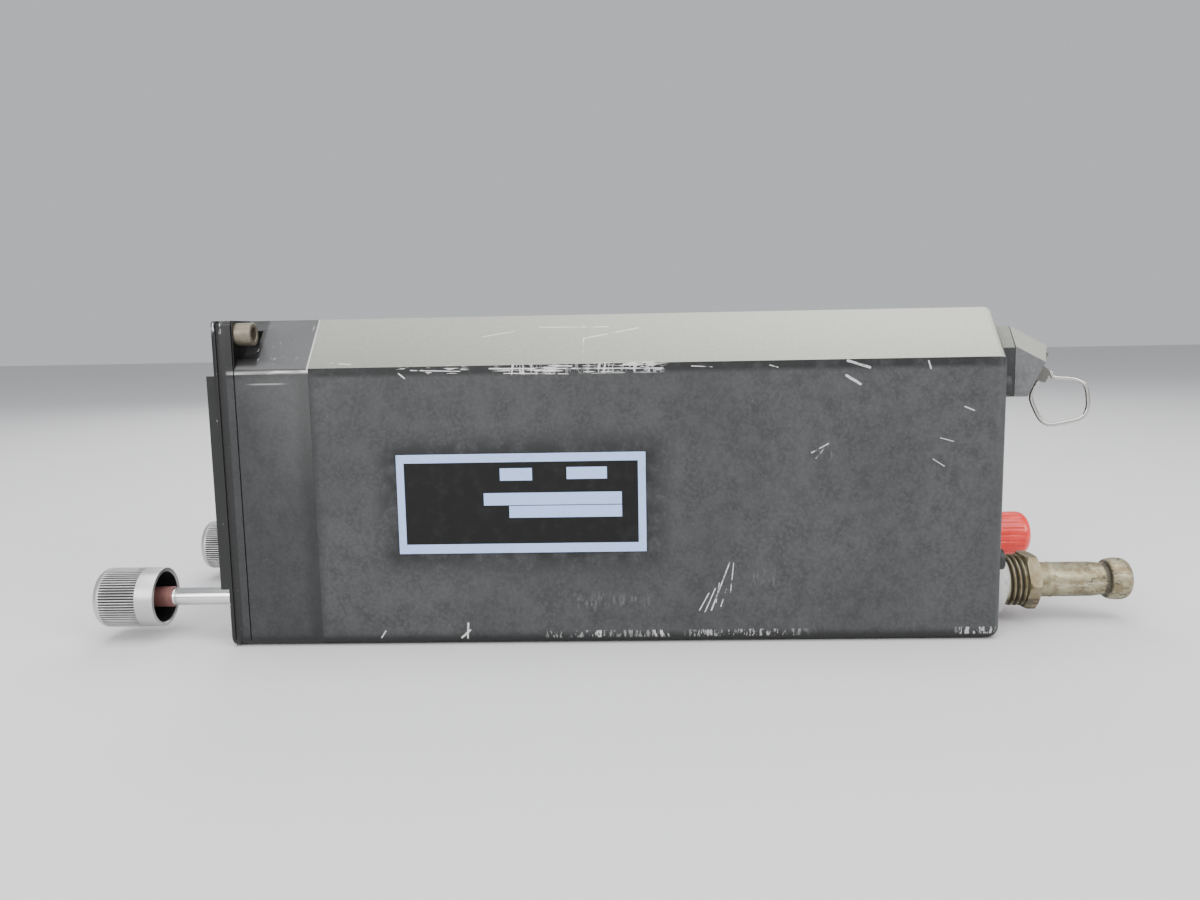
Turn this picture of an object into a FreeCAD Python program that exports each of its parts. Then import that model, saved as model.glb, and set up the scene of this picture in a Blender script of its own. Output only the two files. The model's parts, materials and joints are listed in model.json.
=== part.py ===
import FreeCAD, Part
import math
import os
import Sketcher

# Panel-mounted aircraft navigation indicator with its own air-driven gyro.
# X is the pilot's right, Y points rearward into the panel, Z is up. The origin is the centre
# of the four panel screws, on the front face of the flange. Millimetres throughout.

doc = FreeCAD.newDocument("navigation_indicator")
sizes = doc.addObject("Spreadsheet::Sheet", "sizes")


def size(name, number):
    """Store one driving dimension in the sheet and return the expression that reads it."""
    row = len(sizes.getUsedCells()) // 2 + 1
    sizes.set(f"A{row}", name)
    sizes.set(f"B{row}", str(number))
    sizes.setAlias(f"B{row}", name)
    return f"sizes.{name}"


# Case
case_width = size("case_width", 83.0)
corner_chamfer = size("corner_chamfer", 12.1)
bottom_radius = size("bottom_radius", 3.0)
flange_radius = size("flange_radius", 1.2)
seam_y = size("seam_y", 23.5)
case_length = size("case_length", 195.0)
rear_radius = size("rear_radius", 2.8)
sleeve_wall = size("sleeve_wall", 1.6)
rear_wall = size("rear_wall", 2.5)

# Front stack, from the raised plate back to the casting
plate_raise = size("plate_raise", 2.0)
lip_thickness = size("lip_thickness", 0.9)
gasket_thickness = size("gasket_thickness", 1.0)
gasket_inset = size("gasket_inset", 0.5)
flange_thickness = size("flange_thickness", 3.3)
groove_width = size("groove_width", 0.3)
groove_depth = size("groove_depth", 0.4)
groove_setback = size("groove_setback", 2.9)
front_bore_rim = size("front_bore_rim", 7.0)
aperture_step = size("aperture_step", 2.7)
ledge_step = size("ledge_step", 1.5)
ledge_thickness = size("ledge_thickness", 2.8)
glass_thickness = size("glass_thickness", 2.0)
ring_width = size("ring_width", 1.9)
mask_thickness = size("mask_thickness", 0.6)

# Panel screws and bezel screws
screw_inset = size("screw_inset", 3.4)
screw_hole_radius = size("screw_hole_radius", 1.75)
insert_radius = size("insert_radius", 2.85)
insert_end = size("insert_end", 9.4)
scallop_radius = size("scallop_radius", 6.2)
plate_scallop_radius = size("plate_scallop_radius", 10.7)
knob_scallop_radius = size("knob_scallop_radius", 11.0)
bezel_screw_inset = size("bezel_screw_inset", 3.3)
bezel_screw_radius = size("bezel_screw_radius", 1.0)
bezel_head_radius = size("bezel_head_radius", 1.7)
bezel_head_height = size("bezel_head_height", 0.9)
bezel_screw_depth = size("bezel_screw_depth", 4.4)

# Knobs
knob_side_inset = size("knob_side_inset", 10.07)
knob_rise = size("knob_rise", 10.71)
knob_radius = size("knob_radius", 7.8)
knob_rim_y = size("knob_rim_y", -21.4)
knob_band = size("knob_band", 4.8)
knurl_length = size("knurl_length", 8.5)
knob_crown = size("knob_crown", 3.3)
knob_wall = size("knob_wall", 1.3)
knurl_count = size("knurl_count", 24)
knurl_depth = size("knurl_depth", 0.35)
hub_radius = size("hub_radius", 3.2)
hub_proud = size("hub_proud", 2.5)
shaft_radius = size("shaft_radius", 2.3)
bushing_radius = size("bushing_radius", 4.5)
bushing_proud = size("bushing_proud", 0.5)
bushing_end = size("bushing_end", 8.9)
running_clearance = size("running_clearance", 0.05)
seat_gap = size("seat_gap", 0.3)

# Gear train
ring_teeth = size("ring_teeth", 96)
knob_teeth = size("knob_teeth", 16)
course_teeth = size("course_teeth", 32)
card_teeth = size("card_teeth", 64)
azimuth_teeth = size("azimuth_teeth", 16)
crown_teeth = size("crown_teeth", 48)
crown_pinion_teeth = size("crown_pinion_teeth", 12)
crown_radius = size("crown_radius", 16.0)
crown_face = size("crown_face", 2.2)
crown_web = size("crown_web", 1.53)
gear_thickness = size("gear_thickness", 1.5)
gear_gap = size("gear_gap", 0.5)

# Dial
mask_band = size("mask_band", 3.0)
card_inset = size("card_inset", 1.2)
card_band = size("card_band", 9.0)
card_thickness = size("card_thickness", 0.8)
drum_web = size("drum_web", 1.0)
drum_radius = size("drum_radius", 6.0)
course_tube_radius = size("course_tube_radius", 4.3)
spindle_radius = size("spindle_radius", 1.5)
bearing_radius = size("bearing_radius", 9.0)
layer = size("layer", 0.4)
pointer_travel = size("pointer_travel", 7.0)

# Mechanism plates
gear_plate_y = size("gear_plate_y", 13.0)
plate_thickness = size("plate_thickness", 2.0)
chamber_clearance = size("chamber_clearance", 0.4)
plate_seat = size("plate_seat", 0.8)
pinion_clearance = size("pinion_clearance", 0.53)
ear_clearance = size("ear_clearance", 0.2)
rear_ear_clearance = size("rear_ear_clearance", 0.6)
pillar_inset = size("pillar_inset", 4.4)
pillar_radius = size("pillar_radius", 2.0)
rear_plate_inset = size("rear_plate_inset", 2.2)

# Chassis and gyro
rod_inset = size("rod_inset", 5.1)
rod_z = size("rod_z", 22.0)
rod_radius = size("rod_radius", 2.0)
gyro_y = size("gyro_y", 58.0)
frame_depth = size("frame_depth", 10.0)
frame_margin = size("frame_margin", 0.7)
frame_bar = size("frame_bar", 6.4)
frame_top_bar = size("frame_top_bar", 2.6)
ring_room = size("ring_room", 2.8)
outer_ring_wall = size("outer_ring_wall", 3.0)
outer_ring_width = size("outer_ring_width", 6.0)
gimbal_gap = size("gimbal_gap", 1.5)
inner_ring_wall = size("inner_ring_wall", 3.0)
inner_ring_width = size("inner_ring_width", 5.0)
pivot_radius = size("pivot_radius", 1.5)
axle_radius = size("axle_radius", 1.2)
rotor_gap = size("rotor_gap", 2.5)
rotor_width = size("rotor_width", 16.0)
bucket_count = size("bucket_count", 24)
bulkhead_y = size("bulkhead_y", 96.0)
board_thickness = size("board_thickness", 1.6)
board_z = size("board_z", 3.0)
board_margin = size("board_margin", 7.5)
capacitor_radius = size("capacitor_radius", 6.0)
capacitor_pitch = size("capacitor_pitch", 16.0)
capacitor_y = size("capacitor_y", 18.0)
component_height = size("component_height", 9.0)

# Rear connector
hood_side_inset = size("hood_side_inset", 8.5)
hood_height = size("hood_height", 20.1)
hood_top_inset = size("hood_top_inset", 2.5)
hood_base_depth = size("hood_base_depth", 4.5)
hood_depth = size("hood_depth", 14.0)
hood_face_angle = size("hood_face_angle", 26.0)
hood_slope_angle = size("hood_slope_angle", 28.0)
hood_chamfer = size("hood_chamfer", 4.5)
hood_wall = size("hood_wall", 1.8)
hood_end_wall = size("hood_end_wall", 10.0)
socket_height = size("socket_height", 9.0)
socket_depth = size("socket_depth", 6.6)
shell_wall = size("shell_wall", 0.7)
contact_count = size("contact_count", 12)
contact_pitch = size("contact_pitch", 2.16)
contact_width = size("contact_width", 1.2)
bail_inset = size("bail_inset", 5.0)
bail_wire = size("bail_wire", 1.1)
bail_stand_off = size("bail_stand_off", 2.5)
ear_half_height = size("ear_half_height", 2.2)
ear_half_width = size("ear_half_width", 1.3)
shell_flange = size("shell_flange", 0.8)
shell_depth = size("shell_depth", 1.0)
block_thickness = size("block_thickness", 3.0)
slot_half_height = size("slot_half_height", 1.3)
contact_length = size("contact_length", 6.0)
contact_thickness = size("contact_thickness", 0.45)

# Air ports
port_side_inset = size("port_side_inset", 17.5)
hose_rise = size("hose_rise", 10.8)
cap_rise = size("cap_rise", 12.7)
port_boss_radius = size("port_boss_radius", 9.0)
port_boss_height = size("port_boss_height", 4.5)
thread_radius = size("thread_radius", 6.85)
thread_reach = size("thread_reach", 14.1)
hex_flats = size("hex_flats", 14.3)
hex_length = size("hex_length", 3.1)
nipple_radius = size("nipple_radius", 4.7)
nipple_bore_radius = size("nipple_bore_radius", 3.1)
bead_radius = size("bead_radius", 5.55)
bead_reach = size("bead_reach", 33.1)
nipple_reach = size("nipple_reach", 41.2)
cap_radius = size("cap_radius", 6.95)
cap_reach = size("cap_reach", 34.0)
stub_radius = size("stub_radius", 5.2)
stub_length = size("stub_length", 22.0)
tube_radius = size("tube_radius", 3.0)
tube_wall = size("tube_wall", 0.8)

# Data plate on the right-hand side
data_plate_y = size("data_plate_y", 44.4)
data_plate_length = size("data_plate_length", 62.1)
data_plate_height = size("data_plate_height", 25.1)
data_plate_z = size("data_plate_z", -5.0)
data_plate_thickness = size("data_plate_thickness", 0.4)

doc.recompute()

# Places worked out from the driving dimensions
half_width = f"({case_width} / 2)"
front_bore_radius = f"({half_width} - {front_bore_rim})"
ledge_radius = f"({front_bore_radius} - {ledge_step})"
aperture_radius = f"({front_bore_radius} - {aperture_step})"
mask_radius = f"({aperture_radius} - {mask_band})"
card_radius = f"({mask_radius} - {card_inset})"
course_disc_radius = f"({card_radius} - {card_band})"
bezel_screw_circle = f"({half_width} - {bezel_screw_inset})"
knob_x = f"({half_width} - {knob_side_inset})"
knob_z = f"({knob_rise} - {half_width})"
gasket_y = lip_thickness
casting_y = f"({lip_thickness} + {gasket_thickness})"
flange_end = f"({casting_y} + {flange_thickness})"
ledge_end = f"({flange_end} + {ledge_thickness})"
glass_end = f"({lip_thickness} + {glass_thickness})"
mask_y = f"({flange_end} - {mask_thickness})"
mask_end = flange_end
sleeve_inner = f"({half_width} - {sleeve_wall})"
knob_distance = f"sqrt({knob_x} ^ 2 + {knob_z} ^ 2)"
gear_module = f"(2 * {knob_distance} / ({ring_teeth} + {knob_teeth}))"
chamber_radius = f"(({ring_teeth} / 2 + 1) * {gear_module} + {chamber_clearance})"
plate_radius = f"({chamber_radius} + {plate_seat})"
pinion_pocket_radius = f"(({knob_teeth} / 2 + 1) * {gear_module} + {pinion_clearance})"
pillar_circle = f"({chamber_radius} - {pillar_inset})"
rear_plate_radius = f"({plate_radius} - {rear_plate_inset})"
rod_x = f"({half_width} - {rod_inset})"
flag_y = f"({mask_end} + {seat_gap})"
bug_y = f"({flag_y} + {layer} + {gear_gap})"
card_y = f"({bug_y} + {layer} + {gear_gap})"
disc_y = f"({card_y} - 0.2)"
drum_y = f"({card_y} + {card_thickness})"
bug_gear_y = f"({drum_y} + {drum_web} + {gear_gap})"
gear_plate_end = f"({gear_plate_y} + {plate_thickness})"
card_gear_y = f"({gear_plate_end} + 2 * {gear_gap})"
drum_end = f"({card_gear_y} + {gear_thickness} + {gear_gap})"
course_gear_y = f"({drum_end} + {gear_gap})"
rear_plate_y = f"({course_gear_y} + {gear_thickness} + 2 * {gear_gap})"
rear_plate_end = f"({rear_plate_y} + {plate_thickness})"
azimuth_z = f"(({card_teeth} + {azimuth_teeth}) / 2 * {gear_module})"
crown_module = f"(2 * {crown_radius} / {crown_teeth})"
crown_pinion_radius = f"({crown_pinion_teeth} / 2 * {crown_module})"
crown_pitch_z = f"({azimuth_z} - {crown_pinion_radius})"
outer_ring_radius = f"({sleeve_inner} - {frame_margin} - {frame_bar} - {ring_room})"
crown_floor = f"({crown_pitch_z} - 1.35 * {crown_module})"
outer_ring_top = f"({crown_floor} - {crown_web})"
gyro_z = f"({outer_ring_top} - {outer_ring_radius})"
inner_ring_radius = f"({outer_ring_radius} - {outer_ring_wall} - {gimbal_gap})"
rotor_radius = f"({inner_ring_radius} - {inner_ring_wall} - {rotor_gap})"
rear_wall_y = f"({case_length} - {rear_wall})"
knob_gear_fraction = f"(({course_teeth} / 2 + {course_teeth} / 2) * {gear_module} / {knob_distance})"
hood_half_width = f"({half_width} - {hood_side_inset})"
hood_top_z = f"({half_width} - {hood_top_inset})"
hood_bottom_z = f"({hood_top_z} - {hood_height})"
hood_tip_y = f"({case_length} + {hood_depth})"
socket_length = f"(2 * ({hood_half_width} - {hood_end_wall}))"
bail_x = f"({hood_half_width} - {bail_inset})"
hood_tip_z = f"({hood_top_z} - tan({hood_slope_angle}) * ({hood_tip_y} - {case_length}))"
hood_face_length = f"(({hood_tip_z} - {hood_bottom_z}) / cos({hood_face_angle}))"
hood_foot_y = f"({hood_tip_y} - {hood_face_length} * sin({hood_face_angle}))"
hood_base_end = f"({case_length} + {hood_base_depth})"
face_middle_y = f"(({hood_tip_y} + {hood_foot_y}) / 2)"
face_middle_z = f"(({hood_tip_z} + {hood_bottom_z}) / 2)"
port_x = f"({half_width} - {port_side_inset})"
hose_z = f"({hose_rise} - {half_width})"
cap_z = f"({cap_rise} - {half_width})"
thread_end = f"({case_length} + {thread_reach})"
bead_start = f"({case_length} + {bead_reach})"
nipple_end = f"({case_length} + {nipple_reach})"
cap_end = f"({case_length} + {cap_reach})"


def value(expression):
    """Number that an expression on the sheet gives."""
    return float(sizes.evalExpression(str(expression)))


nodes = []


def finished(shape_object, label):
    """Give a sub-part its own label and put it on the list of nodes."""
    shape_object.Label = label
    nodes.append(shape_object)
    return shape_object


def new_body(label):
    body = doc.addObject("PartDesign::Body", label)
    return finished(body, label)


def sketch_on(body, role, name, height="0"):
    """Sketch on an origin plane of its own body, moved along the plane's normal."""
    sketch = body.newObject("Sketcher::SketchObject", name)
    plane = next(item for item in body.Origin.OriginFeatures if item.Role == role)
    sketch.AttachmentSupport = (plane, [""])
    sketch.MapMode = "FlatFace"
    sketch.setExpression("AttachmentOffset.Base.z", str(height))
    return sketch


def front_sketch(body, name, y):
    """Sketch across the instrument, seen from the front, at the depth y."""
    return sketch_on(body, "XZ_Plane", name, f"-({y})")


def bind(sketch, kind, geometry, point, expression):
    row = sketch.addConstraint(Sketcher.Constraint(kind, -1, 1, geometry, point, value(expression)))
    sketch.setExpression(f"Constraints[{row}]", str(expression))


def circle(sketch, radius, x="0", z="0"):
    centre = FreeCAD.Vector(value(x), value(z), 0)
    item = sketch.addGeometry(Part.Circle(centre, FreeCAD.Vector(0, 0, 1), value(radius)), False)
    bind(sketch, "DistanceX", item, 3, x)
    bind(sketch, "DistanceY", item, 3, z)
    row = sketch.addConstraint(Sketcher.Constraint("Radius", item, value(radius)))
    sketch.setExpression(f"Constraints[{row}]", str(radius))


def polygon(sketch, points):
    """Closed outline through the points, each a pair of expressions."""
    spots = [FreeCAD.Vector(value(x), value(z), 0) for x, z in points]
    first = sketch.GeometryCount
    count = len(points)
    for index in range(count):
        line = Part.LineSegment(spots[index], spots[(index + 1) % count])
        sketch.addGeometry(line, False)
    for index in range(count):
        following = first + (index + 1) % count
        sketch.addConstraint(Sketcher.Constraint("Coincident", first + index, 2, following, 1))
        bind(sketch, "DistanceX", first + index, 1, points[index][0])
        bind(sketch, "DistanceY", first + index, 1, points[index][1])


def rectangle(sketch, x0, z0, x1, z1):
    polygon(sketch, [(x0, z0), (x1, z0), (x1, z1), (x0, z1)])


def pad(body, sketch, length, rearward=True):
    """Pad a front sketch rearward, or any other sketch along its own normal."""
    feature = body.newObject("PartDesign::Pad", "pad")
    feature.Profile = sketch
    feature.setExpression("Length", str(length))
    feature.Reversed = rearward
    return feature


def centred_pad(body, sketch, length):
    feature = pad(body, sketch, length, False)
    feature.Midplane = True
    return feature


def pocket(body, sketch, length=None, centred=False):
    """Cut a front sketch rearward; with no length, or centred, it cuts right through."""
    doc.recompute()
    before = body.Shape.Volume
    feature = body.newObject("PartDesign::Pocket", "pocket")
    feature.Profile = sketch
    if length is None:
        feature.Type = 1
        feature.Midplane = centred
    else:
        feature.setExpression("Length", str(length))
        feature.Midplane = centred
    doc.recompute()
    if body.Shape.Volume >= before:
        raise RuntimeError(f"a pocket of {body.Label} cuts nothing")
    return feature


def revolve(body, sketch, axis="V_Axis"):
    feature = body.newObject("PartDesign::Revolution", "revolution")
    feature.Profile = sketch
    feature.ReferenceAxis = (sketch, [axis])
    feature.Angle = 360.0
    return feature


def fillet(body, radius, chosen, kind="PartDesign::Fillet", prop="Radius"):
    """Round, or bevel, the edges of the last feature that the test picks."""
    doc.recompute()
    base = body.Tip
    names = [f"Edge{i + 1}" for i, edge in enumerate(base.Shape.Edges) if chosen(edge)]
    if not names:
        raise RuntimeError(f"no edge of {body.Label} to round")
    feature = body.newObject(kind, "edges")
    feature.Base = (base, names)
    feature.setExpression(prop, str(radius))
    return feature


def middle(edge):
    return edge.valueAt((edge.FirstParameter + edge.LastParameter) / 2)


def runs_along_y(edge):
    span = edge.BoundBox
    return span.XLength < 0.01 and span.ZLength < 0.01


def around(body, feature, axis_sketch, count):
    """Repeat a feature round the normal of its sketch."""
    pattern = body.newObject("PartDesign::PolarPattern", "pattern")
    pattern.Originals = [feature]
    pattern.Axis = (axis_sketch, ["N_Axis"])
    pattern.Angle = 360.0
    pattern.setExpression("Occurrences", str(count))
    body.Tip = pattern
    return pattern


def place(item, x="0", y="0", z="0", axis=None, angle="0"):
    if axis is not None:
        item.Placement = FreeCAD.Placement(FreeCAD.Vector(), FreeCAD.Rotation(FreeCAD.Vector(*axis), 1))
        item.setExpression("Placement.Rotation.Angle", str(angle))
    item.setExpression("Placement.Base.x", str(x))
    item.setExpression("Placement.Base.y", str(y))
    item.setExpression("Placement.Base.z", str(z))
    return item


def disc(label, outer, start, end, holes=(), x="0", z="0"):
    """Flat round piece across the instrument, with round holes given as (radius, x, z)."""
    body = new_body(label)
    sketch = front_sketch(body, "outline", start)
    circle(sketch, outer, x, z)
    for radius, hole_x, hole_z in holes:
        circle(sketch, radius, hole_x, hole_z)
    pad(body, sketch, f"({end}) - ({start})")
    return body


def cylinder_along_y(name, radius, start, end, x="0", z="0"):
    rod = doc.addObject("Part::Cylinder", name)
    rod.setExpression("Radius", str(radius))
    rod.setExpression("Height", f"({end}) - ({start})")
    rod.Placement = FreeCAD.Placement(FreeCAD.Vector(), FreeCAD.Rotation(FreeCAD.Vector(1, 0, 0), -90))
    rod.setExpression("Placement.Base.x", str(x))
    rod.setExpression("Placement.Base.y", str(start))
    rod.setExpression("Placement.Base.z", str(z))
    return rod


def group(label, members):
    """Separate identical pieces that share one node."""
    compound = doc.addObject("Part::Compound", label)
    compound.Links = members
    return finished(compound, label)


four_corners = [(sx, sz) for sz in (1, -1) for sx in (1, -1)]
screw_x = f"({half_width} - {screw_inset})"
screw_places = [(f"{sx} * {screw_x}", f"{sz} * {screw_x}") for sx, sz in four_corners]
bezel_places = [(f"{sx} * {bezel_screw_circle}", f"{sz} * {bezel_screw_circle}")
                for sx, sz in ((0, 1), (1, 0), (0, -1), (-1, 0))]
knob_places = [(knob_x, knob_z), (f"-{knob_x}", knob_z)]
rod_places = [(f"{sx} * {rod_x}", f"{sz} * {rod_z}") for sx, sz in four_corners]


def case_outline(inset):
    """Square with the two upper corners cut at 45 degrees, moved inward all round."""
    side = f"({half_width} - ({inset}))"
    cut = f"({half_width} - {corner_chamfer} - ({inset}) * (sqrt(2) - 1))"
    return [(f"-{side}", f"-{side}"), (side, f"-{side}"), (side, cut), (cut, side),
            (f"-{cut}", side), (f"-{side}", cut)]


def square_outline(inset):
    side = f"({half_width} - ({inset}))"
    return [(f"-{side}", f"-{side}"), (side, f"-{side}"), (side, side), (f"-{side}", side)]


def bottom_corner(edge):
    spot = middle(edge)
    reach = value(half_width) - 0.05
    return runs_along_y(edge) and abs(spot.x) > reach and spot.z < -reach


def top_corner(edge):
    spot = middle(edge)
    reach = value(half_width) - 0.05
    return runs_along_y(edge) and abs(spot.x) > reach and spot.z > reach


# Front casting: chamfered body, square flange, chambers for the dial and the gears
def make_front_casting():
    body = new_body("front_casting")
    outline = front_sketch(body, "body_outline", casting_y)
    polygon(outline, case_outline("0"))
    pad(body, outline, f"{seam_y} - {casting_y}")
    flange = front_sketch(body, "flange_outline", casting_y)
    polygon(flange, square_outline("0"))
    pad(body, flange, flange_thickness)
    fillet(body, bottom_radius, bottom_corner)
    fillet(body, flange_radius, top_corner)
    front_bore = front_sketch(body, "front_bore", casting_y)
    circle(front_bore, front_bore_radius)
    pocket(body, front_bore, flange_thickness)
    ledge = front_sketch(body, "ledge", flange_end)
    circle(ledge, ledge_radius)
    pocket(body, ledge, ledge_thickness)
    chamber = front_sketch(body, "chamber", ledge_end)
    circle(chamber, chamber_radius)
    pocket(body, chamber)
    plate_seat = front_sketch(body, "plate_seat", gear_plate_y)
    circle(plate_seat, f"{plate_radius} + {running_clearance}")
    pocket(body, plate_seat)
    pinions = front_sketch(body, "pinion_pockets", bushing_end)
    for x, z in knob_places:
        circle(pinions, pinion_pocket_radius, x, z)
    pocket(body, pinions)
    bushings = front_sketch(body, "bushing_bores", casting_y)
    for x, z in knob_places:
        circle(bushings, f"{bushing_radius} + {running_clearance}", x, z)
    pocket(body, bushings, f"{bushing_end} - {casting_y}")
    inserts = front_sketch(body, "insert_bores", casting_y)
    for x, z in screw_places:
        circle(inserts, f"{insert_radius} + {running_clearance}", x, z)
    pocket(body, inserts, f"{insert_end} - {casting_y}")
    scallops = front_sketch(body, "scallops", flange_end)
    for x, z in screw_places[:2]:
        circle(scallops, scallop_radius, x, z)
    pocket(body, scallops, f"{insert_end} - {flange_end}")
    screws = front_sketch(body, "bezel_screw_bores", casting_y)
    for x, z in bezel_places:
        circle(screws, f"{bezel_screw_radius} + {running_clearance}", x, z)
    pocket(body, screws, bezel_screw_depth)
    groove = front_sketch(body, "shadow_groove", f"{casting_y} + {groove_setback}")
    polygon(groove, square_outline("-1"))
    polygon(groove, square_outline(groove_depth))
    pocket(body, groove, groove_width)
    return body


# Bezel: thin square lip with a raised plate that is scalloped round the screws and knobs
def make_bezel():
    body = new_body("bezel")
    lip = front_sketch(body, "lip", "0")
    polygon(lip, square_outline("0"))
    pad(body, lip, lip_thickness)
    fillet(body, flange_radius, top_corner)
    fillet(body, bottom_radius, bottom_corner)
    raised = front_sketch(body, "raised_plate", f"-{plate_raise}")
    polygon(raised, square_outline("0"))
    pad(body, raised, plate_raise)
    corners = front_sketch(body, "corner_scallops", f"-{plate_raise}")
    for x, z in screw_places[:2]:
        circle(corners, plate_scallop_radius, x, z)
    pocket(body, corners, plate_raise)
    lower = front_sketch(body, "lower_scallops", f"-{plate_raise}")
    for x, z in screw_places[2:]:
        circle(lower, f"{plate_scallop_radius} - 2", x, z)
    pocket(body, lower, plate_raise)
    knobs = front_sketch(body, "knob_scallops", f"-{plate_raise}")
    for x, z in knob_places:
        circle(knobs, knob_scallop_radius, x, z)
    pocket(body, knobs, plate_raise)
    holes = front_sketch(body, "holes", f"-{plate_raise}")
    circle(holes, aperture_radius)
    for x, z in knob_places:
        circle(holes, f"{bushing_radius} + {running_clearance}", x, z)
    for x, z in screw_places:
        circle(holes, screw_hole_radius, x, z)
    for x, z in bezel_places:
        circle(holes, f"{bezel_screw_radius} + {running_clearance}", x, z)
    pocket(body, holes)
    heads = front_sketch(body, "screw_head_sinks", f"-{plate_raise}")
    for x, z in bezel_places:
        circle(heads, f"{bezel_head_radius} + {running_clearance}", x, z)
    pocket(body, heads, bezel_head_height)
    return body


def make_gasket():
    body = new_body("bezel_gasket")
    outline = front_sketch(body, "outline", gasket_y)
    polygon(outline, square_outline(gasket_inset))
    circle(outline, f"{front_bore_radius}")
    for x, z in knob_places:
        circle(outline, f"{bushing_radius} + {running_clearance}", x, z)
    for x, z in screw_places:
        circle(outline, screw_hole_radius, x, z)
    for x, z in bezel_places:
        circle(outline, f"{bezel_screw_radius} + {running_clearance}", x, z)
    pad(body, outline, gasket_thickness)
    return body


def make_bezel_screws():
    members = []
    head_end = f"-{plate_raise} + {bezel_head_height}"
    thread_tip = f"{casting_y} + {bezel_screw_depth} - {seat_gap}"
    for index, (x, z) in enumerate(bezel_places):
        head = cylinder_along_y(f"bezel_head_{index}", bezel_head_radius, f"-{plate_raise}", head_end, x, z)
        thread = cylinder_along_y(f"bezel_thread_{index}", bezel_screw_radius, head_end, thread_tip, x, z)
        screw = doc.addObject("Part::Fuse", f"bezel_screw_{index}")
        screw.Base = head
        screw.Tool = thread
        members.append(screw)
    return group("bezel_screws", members)


def make_panel_inserts():
    members = []
    for index, (x, z) in enumerate(screw_places):
        outer = cylinder_along_y(f"insert_body_{index}", insert_radius, casting_y, insert_end, x, z)
        bore = cylinder_along_y(f"insert_bore_{index}", screw_hole_radius, casting_y, insert_end, x, z)
        tube = doc.addObject("Part::Cut", f"insert_{index}")
        tube.Base = outer
        tube.Tool = bore
        members.append(tube)
    return group("panel_inserts", members)


def make_window():
    glass_radius = f"{front_bore_radius} - {running_clearance}"
    disc("window_glass", glass_radius, lip_thickness, glass_end)
    disc("glass_ring", glass_radius, glass_end, mask_y, [(f"{glass_radius} - {ring_width}", "0", "0")])


def arc_band(body, name, start, thickness, inner, outer, centre_angle, half_span):
    """Band of a ring between two radii, as a straight-sided slot of four corners."""
    sketch = front_sketch(body, name, start)
    points = []
    for radius, sign in ((inner, -1), (outer, -1), (outer, 1), (inner, 1)):
        angle = f"({centre_angle} + {sign} * {half_span})"
        points.append((f"({radius}) * sin({angle})", f"({radius}) * cos({angle})"))
    polygon(sketch, points)
    return sketch


# Dial mask: fixed ring with a lubber line, flag windows and pointer slots
def make_dial_mask():
    body = new_body("dial_mask")
    ring = front_sketch(body, "ring", mask_y)
    circle(ring, f"{front_bore_radius} - {running_clearance}")
    circle(ring, mask_radius)
    pad(body, ring, mask_thickness)
    lubber = front_sketch(body, "lubber_line", mask_y)
    polygon(lubber, [("-1.6", f"{mask_radius} + 0.3"), ("0", f"{mask_radius} - 1.6"),
                     ("1.6", f"{mask_radius} + 0.3")])
    pad(body, lubber, mask_thickness)
    windows = front_sketch(body, "pointer_slots", mask_y)
    slot_x = f"({mask_radius} + 1.2)"
    for side in (1, -1):
        rectangle(windows, f"{side} * {slot_x} - 0.5", f"-({pointer_travel} + 0.9)",
                  f"{side} * {slot_x} + 0.5", f"{pointer_travel} + 0.9")
    pocket(body, windows)
    for angle in (flag_angle, -flag_angle):
        flags = arc_band(body, "flag_window", mask_y, mask_thickness, f"{mask_radius} + 0.8",
                         f"{mask_radius} + 2.6", angle, "7")
        pocket(body, flags)
    return body


flag_angle = 42


def make_flag(label, side):
    """Warning flag: an arc behind the mask that turns about the dial's centre."""
    body = new_body(label)
    sketch = arc_band(body, "flag", flag_y, layer, f"{mask_radius} + 0.6", f"{mask_radius} + 3.0",
                      side * flag_angle, "9")
    pad(body, sketch, layer)
    return body


def make_pointer(label, side):
    """Glideslope pointer: arrowhead before the mask, stem through its slot, shoe behind it."""
    body = new_body(label)
    slot_x = f"{side} * ({mask_radius} + 1.2)"
    head_y = f"{mask_y} - {seat_gap} - {layer}"
    head = front_sketch(body, "head", head_y)
    tip = f"{side} * ({mask_radius} - 3.2)"
    root = f"{side} * ({mask_radius} + 1.6)"
    polygon(head, [(tip, "0"), (root, "-1.7"), (root, "1.7")])
    pad(body, head, layer)
    stem = front_sketch(body, "stem", head_y)
    rectangle(stem, f"{slot_x} - 0.35", "-0.6", f"{slot_x} + 0.35", "0.6")
    pad(body, stem, f"{flag_y} + {layer} - ({head_y})")
    shoe = front_sketch(body, "shoe", flag_y)
    rectangle(shoe, f"{slot_x} - 0.7", "-0.9", f"{slot_x} + 0.7", "0.9")
    pad(body, shoe, layer)
    return body


# Aircraft symbol on the back of the glass: fuselage, wing and tail
def make_aircraft_symbol():
    body = new_body("aircraft_symbol")
    sketch = front_sketch(body, "outline", glass_end)
    polygon(sketch, [("-0.5", "-5.2"), ("-2.6", "-5.2"), ("-2.6", "-4.2"), ("-0.5", "-4.2"),
                     ("-0.5", "0.4"), ("-7", "0.4"), ("-7", "1.5"), ("-0.5", "1.5"), ("0", "5.2"),
                     ("0.5", "1.5"), ("7", "1.5"), ("7", "0.4"), ("0.5", "0.4"), ("0.5", "-4.2"),
                     ("2.6", "-4.2"), ("2.6", "-5.2"), ("0.5", "-5.2")])
    pad(body, sketch, layer)
    return body


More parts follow.
